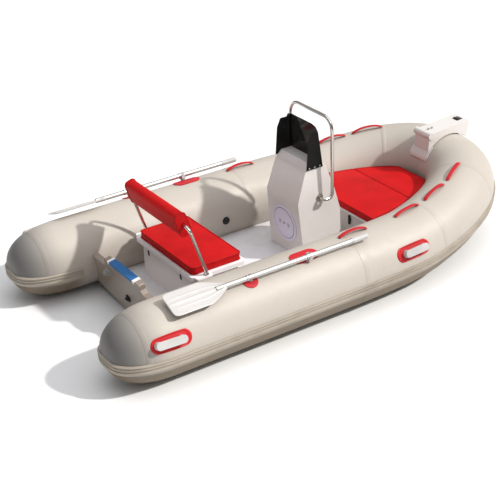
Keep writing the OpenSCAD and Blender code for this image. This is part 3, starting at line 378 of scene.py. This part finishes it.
def blue_pad():
    """Moulded pad, blue over the motor's clamp and white at both ends."""
    f = Finish("motor_pad_plastic", Specular_IOR_Level=0.4)
    side = f.s.math("ABSOLUTE", f.axis(1))
    ends = side.step(0.138, 0.141)
    wear = f.noise(45.0, 5.0)
    body = f.mix(wear.step(0.55, 0.8) * 0.5, srgb(30, 100, 160), srgb(20, 72, 124))
    f.set("Base Color", f.mix(ends, body, srgb(236, 234, 234)))
    f.set("Roughness", wear * 0.3 + 0.35)
    f.bump(f.noise(500.0, 2.0), 0.3, 0.0003)
    return f.material


pad_blue = blue_pad()


def pad_and_post():
    """Red rubber close to the tube and grey plastic above it.

    The distance from the tube's axis, the square root of y^2 + z^2, tells them apart.
    """
    f = Finish("oar_pad_rubber", Specular_IOR_Level=0.4)
    y = f.s.math("ABSOLUTE", f.axis(1)) - HALF_BEAM
    z = f.axis(2) - R
    away = (y * y + z * z) ** 0.5
    wear = f.noise(12.0, 4.0)
    red = f.mix(wear.step(0.35, 0.75), srgb(196, 26, 38), srgb(170, 18, 28))
    grey = f.mix(wear.step(0.35, 0.75), srgb(172, 170, 168), srgb(150, 147, 145))
    f.set("Base Color", f.mix(away.step(0.2305, 0.2312), red, grey))
    f.set("Roughness", wear * 0.2 + 0.4)
    f.bump(f.noise(700.0, 2.0), 0.3, 0.0003)
    return f.material


post_rubber = pad_and_post()
print("vinyl, metals and glazing made")

# %% [markdown]
# ## The line the tube follows
# Everything on the tube is placed by two numbers: how far along its centre line, and the
# angle round it. The line runs forward along the port side, round the bow as a
# superellipse that lifts, and the starboard side mirrors it.

# %% The tube's centre line
CONE_L, TIP_R, CONE_POWER = 0.378, 0.045, 2.6

bow_turn = np.radians(np.concatenate([
    np.linspace(90, 89, 60)[:-1], np.linspace(89, 1, 900)[:-1], np.linspace(1, 0, 60)]))
bow_x = BOW_START + BOW_RUN * np.cos(bow_turn) ** (2 / FULLNESS)
bow_y = HALF_BEAM * np.sin(bow_turn) ** (2 / FULLNESS)
line_x = np.concatenate([np.linspace(0, BOW_START, 400)[:-1], bow_x])
line_y = np.concatenate([np.full(399, HALF_BEAM), bow_y])
line_s = np.concatenate([[0], np.cumsum(np.hypot(np.diff(line_x), np.diff(line_y)))])
S_END = line_s[-1]
tx, ty = np.gradient(line_x, line_s), np.gradient(line_y, line_s)
print("half the centre line is", round(float(S_END), 3), "m")


def cone_radius(x):
    """Radius of the closed stern cone: tip + (r - tip) cos u, where sin u = ((L - x) / L) ^ (p / 2)."""
    s = np.clip((CONE_L - x) / CONE_L, 0, 1) ** (CONE_POWER / 2)
    return TIP_R + (R - TIP_R) * np.sqrt(np.clip(1 - s * s, 0, 1))


def on_tube(s, angle, off=0.0, side=1):
    """Point at s along the line and an angle up from outboard, off above the fabric.

    It is centre + (r + off) (n cos angle + z sin angle), where n points outboard.
    """
    s, angle, off = np.broadcast_arrays(np.asarray(s, float), angle, off)
    past = s > S_END
    q = np.where(past, 2 * S_END - s, s)
    x, y = np.interp(q, line_s, line_x), np.interp(q, line_s, line_y)
    dx, dy = np.interp(q, line_s, tx), np.interp(q, line_s, ty)
    n = np.hypot(dx, dy)
    nx, ny = -dy / n, dx / n
    r = cone_radius(x) + off
    cz = R + RISE * (np.clip(x - RISE_START, 0, None) / (LIFT_END - RISE_START)) ** RISE_POWER
    out = r * np.cos(angle)
    flip = np.where(past, -1, 1) * side
    return np.stack([x - MID + nx * out, flip * (y + ny * out), cz + r * np.sin(angle)], -1)


# %% [markdown]
# ## From arrays to meshes
# A surface is a grid of points. One helper turns any grid into a mesh: it closes it round
# if asked, and caps the ends with a fan, and then turns the faces outwards.

# %% Grid to mesh
def mesh_piece(name, points, faces, material, body, sharp=None):
    """Puts points and faces into a mesh object that rides on a body; the place is in the mesh."""
    mesh = bpy.data.meshes.new(name)
    mesh.from_pydata(points, [], faces)
    mesh.update()
    work = bmesh.new()
    work.from_mesh(mesh)
    bmesh.ops.remove_doubles(work, verts=work.verts, dist=1e-6)
    bmesh.ops.recalc_face_normals(work, faces=work.faces)
    work.to_mesh(mesh)
    work.free()
    mesh.polygons.foreach_set("use_smooth", [True] * len(mesh.polygons))
    if sharp:
        mesh.set_sharp_from_angle(angle=math.radians(sharp))
    mesh.materials.append(material)
    piece = bpy.data.objects.new(name, mesh)
    bpy.context.scene.collection.objects.link(piece)
    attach(piece, body)
    return piece


def grid_faces(rows, cols, along=False):
    """Quads between neighbours of a grid of rings; with along, the last ring joins the first."""
    i, j = np.meshgrid(np.arange(rows if along else rows - 1), np.arange(cols), indexing="ij")
    i2, j2 = (i + 1) % rows, (j + 1) % cols
    quads = np.stack([i * cols + j, i * cols + j2, i2 * cols + j2, i2 * cols + j], -1)
    return quads.reshape(-1, 4).tolist()


def swept(name, grid, material, body, caps=True, along=False, sharp=None):
    """A mesh from a grid of rings; with caps, each end ring is filled with one face."""
    rows, cols = grid.shape[:2]
    faces = grid_faces(rows, cols, along)
    if caps and not along:
        faces += [list(range(cols))[::-1], [(rows - 1) * cols + k for k in range(cols)]]
    return mesh_piece(name, grid.reshape(-1, 3), faces, material, body, sharp=sharp)


def ring(radius, count):
    """Points of a circle in its own plane: radius (cos t, sin t)."""
    t = np.linspace(0, 2 * np.pi, count, endpoint=False)
    return radius * np.stack([np.cos(t), np.sin(t)], -1)


def along_path(path, profile, closed=False, up=(0, 0, 1)):
    """Carries a flat profile along a path: each point goes to path + side px + top py.

    Side and top are square to the path and to each other.
    """
    path = np.asarray(path, float)
    if closed:
        d = np.roll(path, -1, 0) - np.roll(path, 1, 0)
    else:
        d = np.gradient(path, axis=0)
    d /= np.linalg.norm(d, axis=1)[:, None]
    side = np.cross(d, up)
    side /= np.linalg.norm(side, axis=1)[:, None]
    top = np.cross(side, d)
    return path[:, None] + side[:, None] * profile[None, :, :1] + top[:, None] * profile[None, :, 1:]


# %% [markdown]
# ## The tubes
# Three air chambers meet at taped seams. Each chamber is one sweep of a circle along the
# line; the stern cones follow their own radius and close in a small round end patch.

# %% Tube skins
ANGLES = np.linspace(0, 2 * np.pi, 128, endpoint=False)


def cone_stations():
    """Distances along the cone, packed towards its tip so that its round shoulder is smooth."""
    t = np.linspace(0, 1, 56)
    return CONE_L * (1 - np.sin(t * np.pi / 2) ** (2 / CONE_POWER))[::-1]


def side_skin(name, side):
    """The cone's tip, cone and straight run of one side."""
    s = np.concatenate([cone_stations(), np.linspace(CONE_L, BOW_START - 0.0005, 60)[1:]])
    grid = on_tube(s[:, None], ANGLES[None, :], 0, side)
    rings = [0.0, 0.35, 0.7, 0.92]
    tip = np.stack([on_tube(np.zeros(1), ANGLES, TIP_R * (k - 1), side) for k in rings])
    tip[..., 0] -= np.array([0.004, 0.0035, 0.002, 0.0005])[:, None]
    return swept(name, np.concatenate([tip, grid]), tube_fabric, "boat")


port_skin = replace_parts(side_skin("port_tube_skin", 1), "port_tube")
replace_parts(side_skin("starboard_tube_skin", -1), "starboard_tube")
bow_s = np.linspace(BOW_START + 0.0005, 2 * S_END - BOW_START - 0.0005, 300)
bow_grid = on_tube(bow_s[:, None], ANGLES[None, :])
bow_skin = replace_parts(swept("bow_tube_skin", bow_grid, tube_fabric, "boat"), "bow_tube")
print("tube faces:", len(port_skin.data.polygons), len(bow_skin.data.polygons))

# %% [markdown]
# ## Seam tapes
# Where two sheets of fabric meet, a tape is glued over the join. It stands under a
# millimetre proud, but it catches the light, so it is a real band and not a drawn line.

# %% Tapes round the tube
def band(name, s0, width, side, off=0.0011):
    """A thin band round the tube, its edges sunk into the fabric and its middle proud."""
    across = np.array([-0.5, -0.46, -0.4, 0.0, 0.4, 0.46, 0.5]) * width + s0
    proud = np.array([-0.001, off * 0.6, off, off, off, off * 0.6, -0.001])
    grid = on_tube(across[:, None], ANGLES[None, :], proud[:, None], side)
    return swept(name, grid, seam_tape_cloth, "boat", caps=False)


tapes = [(0.160, 0.034), (BOW_START, 0.044), (2.26, 0.034), (2.78, 0.034)]
for k, (s0, width) in enumerate(tapes):
    band(f"port_tape_{k + 1}", s0, width, 1)
    band(f"starboard_tape_{k + 1}", s0, width, -1)
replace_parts(band("stem_tape", S_END, 0.040, 1), "chamber_baffles")
print("tapes:", 2 * len(tapes) + 1)

# %% [markdown]
# ## The rubbing strake
# A moulded rubber band runs round the outside at half height and wraps the stern cones.
# Its section is a flat strip with three ridges. The section is carried along the tube,
# and round each cone it follows the cone's plan at each height.

# %% Strake
# how far below the tube's axis, and how far proud of the fabric, each point of the section is
SECTION = np.array([
    (0.0, 0.001), (0.001, 0.005),
    (0.004, 0.0055), (0.0055, 0.0088), (0.0085, 0.0095), (0.0115, 0.0088), (0.013, 0.0055),
    (0.018, 0.005),
    (0.022, 0.0055), (0.0235, 0.0088), (0.0265, 0.0095), (0.0295, 0.0088), (0.031, 0.0055),
    (0.038, 0.005),
    (0.042, 0.0055), (0.0435, 0.0095), (0.047, 0.0108), (0.053, 0.011), (0.0595, 0.0108),
    (0.064, 0.0095), (0.069, 0.005), (0.070, 0.001)])
HEIGHTS, PROUD = SECTION.T


def cone_plan(y, dz, off):
    """Station of the cone's surface at y off its axis and dz below it, the cone grown by off."""
    r = np.hypot(y, dz)
    c = np.clip((r - TIP_R - off) / (R - TIP_R), 0, 1)
    return CONE_L - (CONE_L + off) * np.sqrt(1 - c * c) ** (2 / CONE_POWER)


def strake_rows(side):
    """Rings of the strake from inboard of the cone, round its end and forward to the bow's middle."""
    t = np.linspace(np.pi, 0, 90)
    reach = np.sqrt((R + PROUD) ** 2 - HEIGHTS ** 2)
    y = reach[None, :] * np.cos(t)[:, None]
    x = cone_plan(y, HEIGHTS[None, :], PROUD[None, :])
    wrap = np.stack([x - MID, side * (HALF_BEAM + y), np.broadcast_to(R - HEIGHTS, y.shape)], -1)
    s = np.linspace(CONE_L, S_END, 220)[1:]
    angle = -np.arcsin(HEIGHTS / (R + PROUD))
    return np.concatenate([wrap, on_tube(s[:, None], angle[None, :], PROUD[None, :], side)])


def strake(name):
    """Both sides as one strip with a thin back, closed at its two inboard ends."""
    front = np.concatenate([strake_rows(1), strake_rows(-1)[::-1][1:]])
    return swept(name, front, strake_rubber, "boat", caps=True, sharp=50)


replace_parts(strake("rubbing_strake"), "port_strake", "starboard_strake", "bow_strake")
print("strake made")

# %% [markdown]
# ## Lifting patches
# Each lifting handle sits on a red rubber patch with a raised rim, shaped like a racetrack.
# Nested racetracks, from the middle out, are laid on the tube, and the height over the
# fabric is a function of how far out each one is.

# %% Red patches with rims
def racetrack(length, width, count=96):
    """Outline of two half circles joined by straight runs, evenly spaced."""
    straight, r = (length - width) / 2, width / 2
    t = np.linspace(0, 2 * np.pi, count, endpoint=False)
    x = r * np.cos(t) + straight * np.clip(np.cos(t) * 3, -1, 1)
    return np.stack([x, r * np.sin(t)], -1)


def patch(name, s0, up, length, width, side, rim=0.0035, base=0.002):
    """A racetrack laid on the tube: nested outlines on a plateau, with a round rim near the edge."""
    out = racetrack(length, width)
    k = np.array([0.0, 0.3, 0.6, 0.78, 0.84, 0.87, 0.90, 0.93, 0.96, 0.985, 1.0])
    high = np.array([0, 0, 0, 0, 0.15, 0.7, 1, 1, 0.8, 0.1, -1.2])
    h = base + rim * np.clip(high, 0, None) + np.where(high < -1, -base - 0.001, 0)
    p = out[None] * k[:, None, None]
    grid = on_tube(s0 + p[..., 0], up + p[..., 1] / R, h[:, None], side)
    return swept(name, grid, red_rubber, "boat", caps=False)


BOW_PATCH_S = float(np.interp(1.995, line_x, line_s))
patches = []
for side, word in ((1, "port"), (-1, "starboard")):
    for s0, where in ((0.303, "aft"), (BOW_PATCH_S, "bow")):
        patches.append(patch(f"{word}_{where}_patch", s0, math.radians(24), 0.252, 0.098, side))
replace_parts(patches[0], "lifting_patches")
print("bow patch centre at", round(BOW_PATCH_S, 3))

# %% [markdown]
# ## Grab handles
# Moulded rubber arches stand on the crown of the tube. The path of each one is the crown
# itself, lifted by an arch that is steep at its ends, and a rounded bar is swept along it.

# %% Arched handles
HANDLE_TURNS = np.radians((72, 58.5, 43))       # the superellipse's angles at the three on the bow
HANDLE_X = [1.696] + list(BOW_START + BOW_RUN * np.cos(HANDLE_TURNS) ** (2 / FULLNESS))


def rounded_bar(wide, thick, count=40, k=3.2):
    """Superellipse: radius (|cos t|^k + |sin t|^k) ^ (-1/k), stretched to wide by thick."""
    t = np.linspace(0, 2 * np.pi, count, endpoint=False)
    c, s = np.cos(t), np.sin(t)
    r = (np.abs(c) ** k + np.abs(s) ** k) ** (-1 / k)
    return np.stack([wide / 2 * r * c, thick / 2 * r * s], -1)


def grab_handle(name, x, side):
    """A bar along the crown, 4.5 mm + 23.5 mm (1 - |u|^2.4) above it, its ends thinned to the fabric."""
    u = np.linspace(-1, 1, 61)
    s = float(np.interp(x, line_x, line_s)) + u * 0.106
    lift = 0.0045 + 0.0235 * (1 - np.abs(u) ** 2.4)
    path = on_tube(s, np.pi / 2, lift, side)
    path[:, 2] += 0.001
    bar = along_path(path, rounded_bar(0.026, 0.0075))
    thin = np.clip((1 - np.abs(u)) / 0.05, 0.25, 1) ** 0.5
    grid = path[:, None] + (bar - path[:, None]) * thin[:, None, None]
    return swept(name, grid, red_rubber, "boat", sharp=70)


handles = [grab_handle(f"{word}_handle_{k + 1}", x, side)
           for side, word in ((1, "port"), (-1, "starboard")) for k, x in enumerate(HANDLE_X)]
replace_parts(handles[0], "grab_handles")
print("handles:", len(handles))

# %% [markdown]
# ## Hard parts with eased edges
# A moulding never has a knife edge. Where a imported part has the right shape, a copy of its
# mesh is merged and its coplanar triangles joined, and a Bevel rounds what is left.

# %% Eased copies
def eased(node, material, body, width, segments=3, limit=28.0):
    """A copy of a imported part, its flat faces joined, with its edges rounded by a Bevel."""
    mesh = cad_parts[node].data.copy()
    mesh.name = node + "_eased"
    work = bmesh.new()
    work.from_mesh(mesh)
    bmesh.ops.remove_doubles(work, verts=work.verts, dist=2e-5)
    bmesh.ops.dissolve_limit(work, angle_limit=math.radians(1.0), verts=work.verts, edges=work.edges)
    bmesh.ops.recalc_face_normals(work, faces=work.faces)
    work.to_mesh(mesh)
    work.free()
    for key in [k for k in mesh.attributes.keys() if k == "custom_normal"]:
        mesh.attributes.remove(mesh.attributes[key])
    mesh.polygons.foreach_set("use_smooth", [True] * len(mesh.polygons))
    mesh.materials.clear()
    mesh.materials.append(material)
    piece = bpy.data.objects.new(node + "_eased", mesh)
    bpy.context.scene.collection.objects.link(piece)
    bevel = piece.modifiers.new("Bevel", "BEVEL")
    bevel.width, bevel.segments, bevel.limit_method = width, segments, "ANGLE"
    bevel.angle_limit, bevel.harden_normals = math.radians(limit), False
    bevel.use_clamp_overlap = True
    even = piece.modifiers.new("WeightedNormal", "WEIGHTED_NORMAL")
    even.weight, even.keep_sharp = 90, True
    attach(piece, body)
    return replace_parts(piece, node)


for node, material, slot, body, width in (
        ("console_shell", white_gelcoat, "gelcoat", "boat", 0.008),
        ("seat_box", seat_lit_gelcoat, "gelcoat", "boat", 0.006),
        ("seat_lid", lid_white, "white_plastic", "seat_lid", 0.003),
        ("bow_locker", white_gelcoat, "gelcoat", "boat", 0.0015),
        ("bow_step", white_gelcoat, "gelcoat", "boat", 0.004),
        ("transom", transom_shade_gelcoat, "gelcoat", "boat", 0.002),
        ("motor_pad", pad_blue, "blue_plastic", "boat", 0.002),
        ("cable_boot", boot_grey, "black_rubber", "boat", 0.003),
        ("hatch_cover", hatch_lilac, "white_plastic", "hatch_cover", 0.0015),
        ("lifting_grips", grip_grey, "grey_plastic", "boat", 0.004)):
    eased(node, material, body, width)
print("eased parts made")

# %% [markdown]
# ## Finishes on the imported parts
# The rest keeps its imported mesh, and only its material changes.

# %% Finishes by node
finishes = {
    hull_shade_gelcoat: ["hull_shell"],
    deck_gelcoat: ["deck_liner"],
    lid_white: ["bow_locker_lid", "backrest_brackets"],
    hatch_lilac: ["hatch_ring"],
    black_plastic: ["drain_bush", "drain_plug", "seat_vents", "valve_bodies", "port_valve_cap",
                    "starboard_valve_cap", "bow_valve_cap", "locker_latch", "latch_base"],
    black_rubber: ["bow_roller"],
    grip_grey: ["port_rowlock", "starboard_rowlock", "port_oar_grip", "starboard_oar_grip"],
    post_rubber: ["rowlock_pads", "oar_rests"],
    stainless: ["grab_rail", "rail_flanges", "backrest_frame", "backrest_pins", "seat_hinge_base",
                "seat_hinge_pins", "seat_hinge_leaves", "roller_pin"],
    bolt_steel: ["bow_step_bolts", "windscreen_screws"],
    oar_alloy: ["port_oar_shaft", "starboard_oar_shaft"],
    smoked: ["windscreen"],
}
for material, nodes in finishes.items():
    for node in nodes:
        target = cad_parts[node]
        if not target.material_slots:
            target.data.materials.append(material)
        for material_slot in target.material_slots:
            material_slot.material = material
print("finishes set on", sum(len(n) for n in finishes.values()), "packed parts")

# %% [markdown]
# ## Oar blades
# A blade is a thin spoon with a rib down its middle and two beside it. Its outline and its
# thickness are functions of how far along it one is, and how far across. The oars lie
# round the tube from its crown, so each blade leans outboard by the same angle.

# %% Blades
OAR_LEAN = math.radians(22)


def blade(name, node, side):
    """Closed sheet, its half thickness 3 mm and three ribs that fade to the tip, its edge round."""
    lo, hi = [np.array(c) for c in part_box(node)]
    y0, z0 = (lo[1] + hi[1]) / 2, (lo[2] + hi[2]) / 2
    u = np.linspace(0, 1, 90)
    v = np.linspace(-1, 1, 61)
    x = lo[0] + (hi[0] - lo[0]) * u
    half = ((hi[1] - lo[1]) / 2 - 0.003 * math.sin(OAR_LEAN)) / math.cos(OAR_LEAN)
    tip = np.sqrt(np.clip(1 - np.clip(1 - u / 0.13, 0, 1) ** 2.6, 0, 1)) * 0.30 + 0.70
    tip[0] = 0.62
    neck = 1 - np.clip((u - 0.62) / 0.38, 0, 1) ** 1.35 * (1 - 0.021 / half)
    wide = half * np.minimum(tip, neck)
    rib = 0.0052 * np.exp(-(v / 0.10) ** 4) + 0.0026 * np.exp(-((np.abs(v) - 0.42) / 0.05) ** 2)
    fade = np.clip(u / 0.16, 0, 1)[:, None] ** 0.7
    edge = np.clip((1 - np.abs(v)) / 0.06, 0, 1) ** 0.5
    thick = (0.0030 + rib[None] * fade) * edge[None] * np.clip(u / 0.012, 0.02, 1)[:, None] ** 0.5
    thick += 0.0085 * np.clip((u - 0.86) / 0.14, 0, 1)[:, None] * np.exp(-(v / 0.7) ** 2)[None]
    across = v[None] * wide[:, None]
    xs = np.broadcast_to(x[:, None], across.shape)
    outward = 1 if side == "port" else -1

    def face(h):
        """Across a and height h leaned outboard: y = a cos + h sin, z = h cos - a sin."""
        ys = across * math.cos(OAR_LEAN) + h * math.sin(OAR_LEAN)
        zs = h * math.cos(OAR_LEAN) - across * math.sin(OAR_LEAN)
        return np.stack([xs, y0 + outward * ys, z0 + zs], -1)

    top, bottom = face(thick), face(-thick)[:, ::-1]
    grid = np.concatenate([top, bottom[:, 1:-1]], 1)
    piece = swept(name, grid, blade_white, f"{side}_oar", sharp=60)
    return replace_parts(piece, node)


blade("port_blade", "port_oar_blade", "port")
blade("starboard_blade", "starboard_oar_blade", "starboard")
print("blades made")

# %% [markdown]
# ## Cushions
# A foam cushion under vinyl swells between its seams. Each one starts from its packed
# block, remeshed into small squares and drawn in a little. The cloth solver blows it up
# with gravity off while its seams are pinned, and the result is kept, its movement capped.
# It stays flat where it rests. The piping is sewn on afterwards: a cord is swept round the
# edge, and its path is first laid on the finished skin.

# %% Cushion by cloth simulation
scene = bpy.context.scene


def mesh_arrays(mesh):
    """All vertex places of a mesh as one array."""
    v = np.empty(len(mesh.vertices) * 3)
    mesh.vertices.foreach_get("co", v)
    return v.reshape(-1, 3)


def cushion(node, body, rest=None, panel=2, voxel=0.0062, draw_in=0.003, cap=0.008):
    """Copies, remeshes and draws in a block, and blows it up; returns a tree of the skin's faces.

    The seams are the points whose normal leans between a panel's axis and its sides:
    0.3 < |n . axis| < 0.9. They are pinned, so the vinyl swells between them.
    """
    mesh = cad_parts[node].data.copy()
    mesh.name = node + "_vinyl"
    work = bmesh.new()
    work.from_mesh(mesh)
    bmesh.ops.remove_doubles(work, verts=work.verts, dist=2e-5)
    work.to_mesh(mesh)
    work.free()
    mesh.materials.clear()
    piece = bpy.data.objects.new(node + "_vinyl", mesh)
    scene.collection.objects.link(piece)
    remesh = piece.modifiers.new("Remesh", "REMESH")
    remesh.mode, remesh.voxel_size = "VOXEL", voxel
    soften = piece.modifiers.new("Smooth", "SMOOTH")
    soften.factor, soften.iterations = 0.5, 4
    graph = bpy.context.evaluated_depsgraph_get()
    fresh = bpy.data.meshes.new_from_object(piece.evaluated_get(graph))
    piece.modifiers.clear()
    piece.data = fresh
    start = mesh_arrays(fresh)
    normals = np.empty(len(fresh.vertices) * 3)
    fresh.vertices.foreach_get("normal", normals)
    normals = normals.reshape(-1, 3)
    steep = np.abs(normals[:, panel])
    seam = (steep > 0.3) & (steep < 0.9)
    drawn = start - normals * np.where(seam, 0.0005, draw_in)[:, None]
    fresh.vertices.foreach_set("co", drawn.ravel())
    fresh.update()
    piece.vertex_groups.new(name="seam").add(np.flatnonzero(seam).tolist(), 1.0, "REPLACE")
    cloth = piece.modifiers.new("Cloth", "CLOTH")
    cloth.settings.vertex_group_mass = "seam"
    cloth.settings.quality = 4
    cloth.settings.use_pressure = True
    cloth.settings.uniform_pressure_force = 4.0
    cloth.settings.effector_weights.gravity = 0
    cloth.settings.mass = 0.3
    cloth.settings.tension_stiffness = 25
    cloth.settings.bending_stiffness = 0.6
    cloth.point_cache.frame_start, cloth.point_cache.frame_end = 1, 20
    for f in range(1, 21):
        scene.frame_set(f)
    graph = bpy.context.evaluated_depsgraph_get()
    blown = mesh_arrays(piece.evaluated_get(graph).to_mesh())
    piece.modifiers.clear()
    scene.frame_set(1)
    move = blown - drawn
    far = np.linalg.norm(move, axis=1, keepdims=True)
    move *= np.minimum(1, cap / np.maximum(far, 1e-9))
    place = drawn + move
    if rest is not None:
        place[:, 2] = np.maximum(place[:, 2], rest)
    fresh.vertices.foreach_set("co", place.ravel())
    fresh.update()
    fresh.polygons.foreach_set("use_smooth", [True] * len(fresh.polygons))
    fresh.materials.append(red_vinyl)
    finer = piece.modifiers.new("Subdivision", "SUBSURF")
    finer.levels = finer.render_levels = 1
    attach(piece, body)
    print(node, "points", len(place), "pinned", int(seam.sum()), "mean move", round(float(far.mean()), 4))
    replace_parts(piece, node)
    return BVHTree.FromPolygons(place.tolist(), [tuple(f.vertices) for f in fresh.polygons])


def outline(node, inset):
    """Loop round a node's top face: its highest points in order of their angle, spread evenly."""
    v = mesh_arrays(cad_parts[node].data)
    top = np.unique(np.round(v[v[:, 2] > v[:, 2].max() - 0.0005][:, :2], 5), axis=0)
    middle = (top.min(0) + top.max(0)) / 2
    top = top[np.argsort(np.arctan2(top[:, 1] - middle[1], top[:, 0] - middle[0]))]
    loop = np.concatenate([top, top[:1]])
    s = np.concatenate([[0], np.cumsum(np.linalg.norm(np.diff(loop, axis=0), axis=1))])
    t = np.linspace(0, s[-1], 400, endpoint=False)
    even = np.stack([np.interp(t, s, loop[:, 0]), np.interp(t, s, loop[:, 1])], -1)
    for _ in range(4):
        even = (np.roll(even, 1, 0) + even + np.roll(even, -1, 0)) / 3
    d = np.roll(even, -1, 0) - np.roll(even, 1, 0)
    n = np.stack([d[:, 1], -d[:, 0]], -1) / np.linalg.norm(d, axis=1)[:, None]
    return even - n * inset


def laid_on(skin, path):
    """Each point of a path moved to the nearest place on the cushion's skin."""
    return np.array([skin.find_nearest(place)[0] for place in path])


def cord(name, path, body, up=(0, 0, 1)):
    """A closed round cord, 7.6 mm across, along a path."""
    grid = along_path(path, ring(0.0038, 12), True, up)
    return swept(name, grid, piping_vinyl, body, along=True)


def piping(name, node, skin, z, body, inset=0.0015):
    """A sewn cord round the edge at a height."""
    loop = outline(node, inset)
    return cord(name, laid_on(skin, np.column_stack([loop, np.full(len(loop), z)])), body)


seat_lo, seat_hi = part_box("seat_cushion")
seat_skin = cushion("seat_cushion", "seat_lid", rest=seat_lo[2] + 0.0003)
piping("seat_piping", "seat_cushion", seat_skin, seat_hi[2] - 0.004, "seat_lid")
piping("seat_piping_low", "seat_cushion", seat_skin, seat_lo[2] + 0.005, "seat_lid")
for node, body, tag in (("bow_cushion_aft", "locker_lid", "bow_aft"),
                        ("bow_cushion_fwd", "boat", "bow_forward")):
    lo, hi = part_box(node)
    skin = cushion(node, body, rest=lo[2] + 0.0003)
    piping(f"{tag}_piping", node, skin, hi[2] - 0.004, body)
pad_skin = cushion("backrest_pad", "backrest", panel=1)

# %% [markdown]
# ## Backrest seams
# The backrest's vinyl is sewn from a band and two end panels, with a welt at each end.

# %% Welts on the backrest
def end_welt(name, y):
    """A cord round the end panel: a superellipse of power 5 in the pad's own leaning frame."""
    v = mesh_arrays(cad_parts["backrest_pad"].data)
    side = np.unique(np.round(v[np.abs(v[:, 1] - y) < 0.03][:, [0, 2]], 5), axis=0)
    middle = (side.min(0) + side.max(0)) / 2
    lean = math.radians(18)
    axes = np.array([[math.cos(lean), math.sin(lean)], [-math.sin(lean), math.cos(lean)]])
    local = (side - middle) @ axes.T
    wide, thick = 2 * (np.abs(local).max(0) - 0.004)
    flat = rounded_bar(wide, thick, 160, 5.0) @ axes + middle
    path = laid_on(pad_skin, np.stack([flat[:, 0], np.full(160, y), flat[:, 1]], -1))
    return cord(name, path, "backrest", (0, 1, 0))


pad_lo, pad_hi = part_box("backrest_pad")
end_welt("backrest_welt_port", pad_hi[1] - 0.006)
end_welt("backrest_welt_starboard", pad_lo[1] + 0.006)
print("welts made")

# %% [markdown]
# ## Floor, light and camera
# A plain pale floor, a sun from ahead and to starboard, a very wide soft light from above,
# and a white sky that brightens overhead. The camera stands high off the starboard quarter
# with a long lens.

# %% Stage
def studio_floor():
    """A wide pale plane under the boat."""
    mesh = bpy.data.meshes.new("floor")
    w, z = 60.0, -0.0005
    mesh.from_pydata([(-w, -w, z), (w, -w, z), (w, w, z), (-w, w, z)], [], [(0, 1, 2, 3)])
    floor = bpy.data.objects.new("floor", mesh)
    scene.collection.objects.link(floor)
    f = Finish("floor_white")
    cloud = f.noise(0.4, 2.0)
    f.set("Base Color", f.mix(cloud, (0.80, 0.80, 0.80), (0.78, 0.78, 0.78)))
    f.set("Roughness", cloud * 0.1 + 0.85)
    mesh.materials.append(f.material)
    floor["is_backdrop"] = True
    return floor


def sun(name, energy, toward, angle, colour):
    """A far lamp that shines along a direction, so many degrees wide."""
    light = bpy.data.lights.new(name, "SUN")
    light.energy, light.color = energy, colour
    light.angle = math.radians(angle)
    obj = bpy.data.objects.new(name, light)
    obj.rotation_mode = "QUATERNION"
    obj.rotation_quaternion = Vector(toward).to_track_quat("-Z", "Y")
    scene.collection.objects.link(obj)
    return obj


studio_floor()
sun("key_sun", 3.3, (-0.53, 0.51, -0.67), 2.5, (1.0, 0.975, 0.94))
sun("top_light", 1.15, (-0.10, 0.15, -1.0), 70, (0.97, 0.98, 1.0))
world = bpy.data.worlds.new("sky")
world.use_nodes = True
sky = Sock(world.node_tree)
towards = sky.node("ShaderNodeTexCoord", {}, {}, "Generated")
height = sky.node("ShaderNodeSeparateXYZ", {}, {0: towards}, 2)
ahead_x = sky.node("ShaderNodeSeparateXYZ", {}, {0: towards}, 0)
glow = height.step(0.05, 0.9) * 0.48 + ahead_x.step(-0.6, 0.9) * 0.12 + 0.08
world.node_tree.nodes["Background"].inputs[0].default_value = (0.97, 0.98, 1.0, 1)
world.node_tree.links.new(glow.socket, world.node_tree.nodes["Background"].inputs[1])
scene.world = world
scene.view_settings.view_transform = "Standard"

# %% Camera
camera = bpy.data.objects.new("camera", bpy.data.cameras.new("camera"))
camera.data.lens, camera.data.sensor_width = 90.41, 36.0
camera.data.clip_start, camera.data.clip_end = 0.1, 200
right, above = Vector((0.828, -0.560, -0.030)), Vector((0.284, 0.373, 0.883))
ahead = Vector((0.483, 0.740, -0.468))
turn = Matrix((right, above, -ahead)).transposed()
camera.rotation_mode = "QUATERNION"
camera.rotation_quaternion = turn.to_quaternion().normalized()
camera.location = (-4.058, -5.865, 3.901)
scene.collection.objects.link(camera)
scene.camera = camera
print("camera set")

# %% Sizes and finish
made_box = [list(c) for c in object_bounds()]
for word, box in (("made", made_box), ("frame", cad_box)):
    print(word, [round(b - a, 3) for a, b in zip(*box)])
